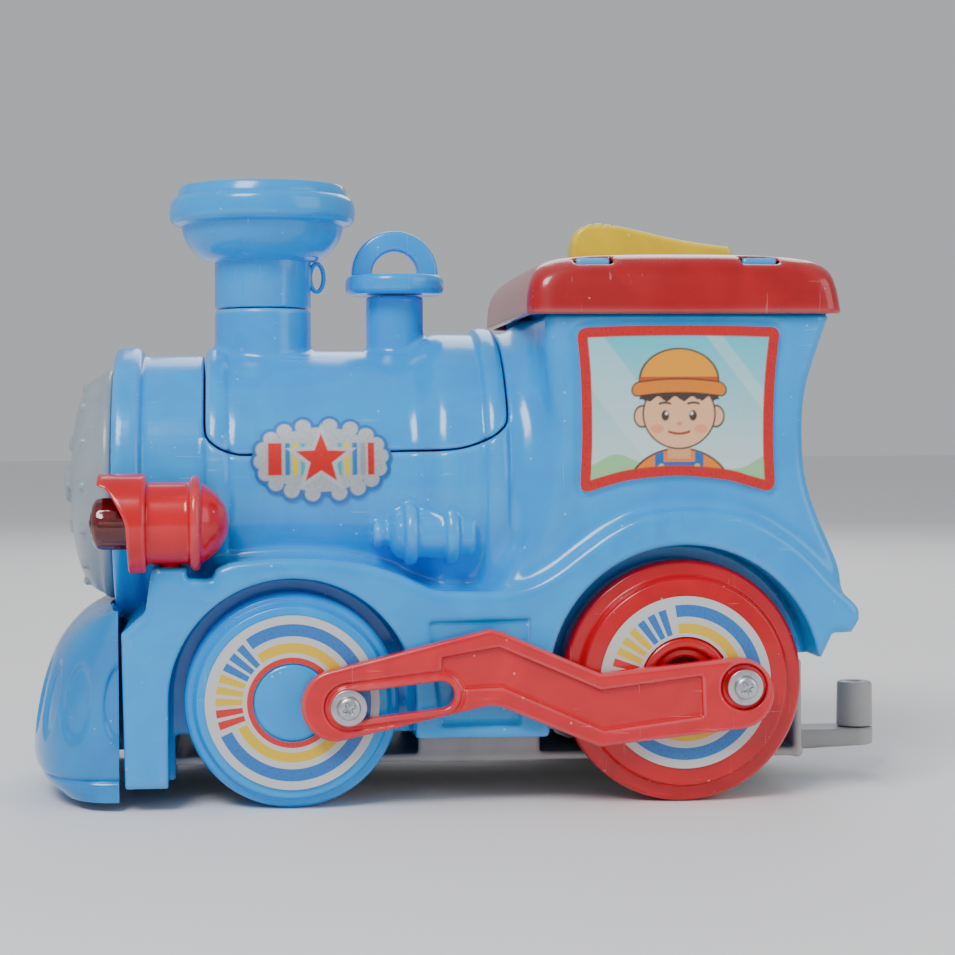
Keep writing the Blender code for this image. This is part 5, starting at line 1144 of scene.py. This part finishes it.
CRANK_X, CRANK_Z = 13.181, -0.7  # from each axle to its crank pin
crank = {end: (x + CRANK_X, z + CRANK_Z) for end, (x, z) in zip(("front", "rear"), AXLES)}
for end, (pin_x, pin_z) in crank.items():
    washer_screw(f"{end}_crank_screw", [(-51.0, 0), (-51.0, 4.3), (-51.85, 4.3), (-51.9, 3.0), (-51.9, 0)],
                 [(-51.6, 0), (-51.6, 2.9), (-52.6, 2.9), (-53.3, 2.3), (-53.6, 1.1), (-53.6, 0)],
                 0.95, -52.4, pin_x, pin_z, f"{end}_wheelset")
washer_screw("rear_hub_screw", [(-40.3, 0), (-40.3, 4.4), (-41.05, 4.3), (-41.1, 3.0), (-41.1, 0)],
             [(-40.9, 0), (-40.9, 2.9), (-41.7, 2.9), (-42.4, 2.2), (-42.7, 1.1), (-42.7, 0)],
             0.9, -41.7, BACK_X, BACK_Z, "rear_wheelset")
head = fine(eased([(0.6, 0), (0.6, 1.2), (1.3, 1.2), (1.3, 2.9), (0.7, 2.9), (0.1, 2.2), (0.0, 1.0), (0.0, 0)], 0.3))
points, faces = screw_head(head, 0.7, 0.5)
points = np.stack([points[:, 0], -points[:, 2], points[:, 1]], 1)
for number in (1, 2, 3, 4):
    name = f"chassis_screw_{number}"
    low_corner, high_corner = (np.array(v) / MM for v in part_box(name))
    middle = (low_corner + high_corner) / 2
    spot = (middle[0] - AXLE_X, middle[1], low_corner[2])
    crisp(piece(name, points + spot, faces, zinc, "locomotive", name, "zinc_steel"), 40)

# --- The wheels -----------------------------------------------------------------------------------
# Blue front wheels with capped hubs and larger red rear wheels with recessed hubs, each a moulded disc
# with a flat face inside a stepped rim, hollow behind, and a crank boss standing on the face.
wheel_red = plastic("wheel_red_plastic", (206, 0, 22), (188, 0, 14), 0.22, 0.3)
CAP = [(-45.7, 0), (-45.7, 8.4), (-45.4, 9.0), (-45.0, 9.3)]
RECESS = [(-40.0, 0), (-40.0, 5.8), (-43.9, 6.0), (-44.4, 6.4), (-44.4, 8.0), (-45.4, 8.4), (-45.6, 9.0),
          (-45.6, 10.2), (-45.0, 10.9)]


def wheel_surface(hub, face_r, radius, centre, pin):
    """The turned disc, and a boss and post for the crank."""
    back = [(-34.0, radius), (-34.0, radius - 2.2), (-40.6, radius - 2.6), (-40.6, 7.4), (-32.6, 7.0), (-32.6, 2.3),
            (-33.0, 0)]
    rim = [(-45.0, face_r), (-44.0, face_r + 0.5), (-43.3, face_r + 0.7), (-42.5, face_r + 0.8),
           (-41.9, face_r + 1.2), (-42.0, radius - 1.0), (-41.3, radius - 0.3), (-40.4, radius)]
    profile = eased([*hub, *rim, *back], 0.35, 3)
    boss = eased([(-43.0, 0), (-43.0, 3.4), (-46.0, 3.4), (-46.0, 2.2), (-50.7, 2.2), (-50.7, 0)], 0.25)
    return gathered(turned(profile, "Y", (centre[0], 0, centre[1]), 144), turned(boss, "Y", (pin[0], 0, pin[1]), 48))


wheels = (("front", sky_blue, "blue_plastic", CAP, 22.8, 26.0, AXLES[0]),
          ("rear", wheel_red, "red_plastic", RECESS, 24.8, 29.6, AXLES[1]))
for end, paint, slot_name, hub, face_r, radius, centre in wheels:
    both_turned(f"{end}_wheel", wheel_surface(hub, face_r, radius, centre, crank[end]), paint, slot_name, 30,
                f"{end}_wheelset")

# --- The wheel labels -----------------------------------------------------------------------------
# Round paper labels on the wheel faces: a blue and a yellow ring, broken by a fan of short bars, and on
# the front wheels a red ring round the hub.
PALE, BLUE, YELLOW, RED = ink(200, 202, 202), ink(44, 112, 178), ink(216, 184, 36), ink(200, 30, 48)


YELLOW_RING, BLUE_RING, BARS = (11.93, 14.32), (15.94, 18.85), (11.93, 18.38)  # inner and outer radii
RED_R, OUTER_R, ARC, BAR_HALF = 10.85, 20.9, 281, 3.1  # mm, mm, degrees, degrees


def disc_label(inner_r, start_turn, bars, front):
    """Rings of cells between set radii and bearings, so that every printed edge is an edge of the mesh."""
    radii = [inner_r, RED_R, *YELLOW_RING, *BLUE_RING, *BARS, OUTER_R, *np.arange(inner_r, OUTER_R, 1.0)]
    radii = np.unique(np.round(radii, 2))
    radii = radii[(radii >= inner_r) & (radii <= OUTER_R)]
    breaks = [bearing + e for bearing, _ in bars for e in (-BAR_HALF, BAR_HALF)]
    turns = [*np.arange(0, 360, 3.0), start_turn, start_turn + ARC, *breaks]
    turns = np.unique(np.round(np.array(turns) % 360, 3))
    r, a = np.meshgrid(radii, np.radians(turns), indexing="ij")
    n, m = r.shape
    index = np.arange(n * m).reshape(n, m)
    after = np.roll(index, -1, 1)
    faces = np.stack([index[:-1], index[1:], after[1:], after[:-1]], -1).reshape(-1, 4)
    next_turn = np.append(turns[1:], turns[0] + 360)
    middle_a = np.broadcast_to(((turns + next_turn) / 2)[None] % 360, (n - 1, m)).reshape(-1)
    middle_r = np.broadcast_to(((radii[1:] + radii[:-1]) / 2)[:, None], (n - 1, m)).reshape(-1)

    def between(ring):
        return (middle_r > ring[0]) & (middle_r < ring[1])

    in_arc = (middle_a - start_turn) % 360 < ARC
    layers = [(in_arc & between(BLUE_RING), BLUE), (in_arc & between(YELLOW_RING), YELLOW)]
    for bearing, colour in bars:
        layers.append(((np.abs((middle_a - bearing + 180) % 360 - 180) < BAR_HALF) & between(BARS), colour))
    if front:
        layers.append((middle_r < RED_R, RED))
    return r.reshape(-1), a.reshape(-1), m, faces, layered(PALE, *((np.where(on, -1, 1), ink) for on, ink in layers))


FAN = [BLUE] * 3 + [YELLOW] * 3 + [RED] * 2
for end, inner_r, start_turn, first, centre in (
        ("front", 9.5, 205.0, 132.8, AXLES[0]), ("rear", 11.1, 177.0, 108.6, AXLES[1])):
    bars = [(first + 9.2 * k, colour) for k, colour in enumerate(FAN)]
    r, a, columns, faces, colours = disc_label(inner_r, start_turn, bars, end == "front")
    n = len(r)
    edges = np.arange(columns)
    after = np.roll(edges, -1)
    outer, outer_after = edges + n - columns, after + n - columns
    rims = [np.stack([edges, after, after + n, edges + n], -1),
            np.stack([outer_after, outer, outer + n, outer_after + n], -1)]
    everything = np.concatenate([faces, faces[:, ::-1] + n, *rims])
    shades = np.concatenate([colours, np.full((len(everything) - len(colours), 3), 0.6)])
    points = np.concatenate([np.stack([r * np.cos(a), np.full_like(r, y), r * np.sin(a)], -1) for y in (-45.62, -45.2)])
    points = points + (centre[0], 0, centre[1])
    corners = np.concatenate([np.repeat(shades, 4, 0), np.ones((len(shades) * 4, 1))], 1)
    for side, way in BOTH:
        piece(f"{end}_disc_label_{side}", points * (1, way, 1), everything[:, ::-way], paper, f"{end}_wheelset",
              f"{end}_wheel_label_{side}", "label_paper", inks=corners)

# --- The side rods --------------------------------------------------------------------------------
# A red cranked rod on each side couples the wheels. Its rear end turns on the rear crank pin, and the
# front pin slides in a slot. The face has a sunk pan inside a raised border and a collar at each hole.
rod_red = plastic("rod_red_plastic", (220, 0, 32), (202, 0, 24), 0.2, 0.3)
front_pin, rear_pin = np.array(crank["front"]), np.array(crank["rear"])


def round_end(centre, radius, start, end):
    """An arc of an outline, from one bearing to another."""
    t = np.radians(np.linspace(start, end, 24))
    return np.stack([centre[0] + radius * np.cos(t), centre[1] + radius * np.sin(t)], 1)


ROD = np.vstack([
    round_end(front_pin + (-2.6, 0.4), 8.6, 99, 270), front_pin + (33.0, -0.2), front_pin + (36.4, -0.4),
    rear_pin + (-35.0, -14.0), rear_pin + (-30.2, -13.4), round_end(rear_pin + (-1.2, -1.6), 8.6, -82, 100),
    rear_pin + (-34.8, 3.6), front_pin + (37.0, 17.4), front_pin + (34.0, 18.2)])
SLOT = np.vstack([round_end(front_pin, 3.3, 96, 276), round_end(front_pin + (22.0, 2.6), 3.3, -84, 96)])
PAN = [front_pin + (22.0, 3.4), front_pin + (36.6, 4.0), rear_pin + (-34.0, -10.4), rear_pin + (-9.6, -7.2),
       rear_pin + (-10.0, 3.1), rear_pin + (-34.7, 0.0), front_pin + (36.0, 14.2), front_pin + (22.0, 11.8)]


def rod_field(x, y, z):
    """The rod's outline with rounded edges, less the pan, a groove round the slot's collar, the slot and the hole."""
    outline = outline_distance(ROD, x, z)
    made = common(outline, np.abs(y + 48.5) - 2.2, 0.8)
    slot = outline_distance(SLOT, x, z)
    pan = np.maximum(outline_distance(PAN, x, z), 2.0 - slot)
    pan = np.maximum(pan, 1.9 + outline)
    groove = np.maximum(np.abs(slot - 2.0) - 0.45, y + 50.15)
    made = common(made, -common(pan + 0.3, y + 49.5, 0.5), 0.25)
    made = common(made, -groove, 0.15)
    from_pin = np.hypot(x - rear_pin[0], z - rear_pin[1])
    made = common(made, -np.maximum(from_pin - 5.6, y + 49.6), 0.3)
    made = common(made, 2.5 - from_pin, 0.2)
    return common(made, -slot, 0.4)


both_sides("side_rod", skin(rod_field, (0.5, -51.8, 13.5), (117.5, -45.2, 45), 0.45), rod_red, "red_plastic",
           ("left_rod", "right_rod"))

# --- The winding key ------------------------------------------------------------------------------
# A plated butterfly key on the right side: two flat rounded wings with finger holes on a round boss,
# pressed onto the end of the winding arbor.


def key_field(x, y, z):
    """Two round lobes and a web joined with fillets, drilled, on a turned boss with a rounded end."""
    side = np.abs(x - KEY_X)
    lobe = np.hypot(side - 7.7, y - 50.3) - 3.75
    web = np.maximum(np.abs(y - 49.6) - 2.2, side - 7.0)
    plan = np.maximum(joined(lobe, web, 2.0), 1.9 - np.hypot(side - 7.7, y - 50.5))
    wings = common(plan, np.abs(z - KEY_Z) - 0.9, 0.45)
    boss = common(np.hypot(x - KEY_X, z - KEY_Z) - 4.15, np.abs(y - 46.9) - 3.4, 0.9)
    return joined(wings, boss, 0.8)


moulding("winding_key", skin(key_field, (53, 42.3, 62), (79, 55.4, 74), 0.35), zinc, "winding_key", "zinc_steel",
         "winding_shaft")

# --- The clockwork --------------------------------------------------------------------------------
# Inside the cab and boiler: a stamped steel frame on riveted pillars, a blued mainspring, nylon gears
# on steel arbors and the wheel axles. These parts keep their exact forms and take their own finishes.
blued_steel = metal("blued_spring_steel", (112, 120, 140), (70, 72, 84), 0.3, 0.8)
bright_steel = metal("bright_rolled_steel", (190, 192, 196), (132, 134, 138), 0.34, 0.7)
nylon = plastic("natural_nylon", (226, 222, 208), (208, 202, 184), 0.42, 0.1, 0.0)
own_finish = {"spring_steel": blued_steel, "zinc_steel": bright_steel, "nylon_white": nylon}
for node in frame["nodes"].values():
    if not node.hide_render:
        first = node.data.materials[0].name.split(".")[0]
        node.material_slots[0].material = own_finish[first]
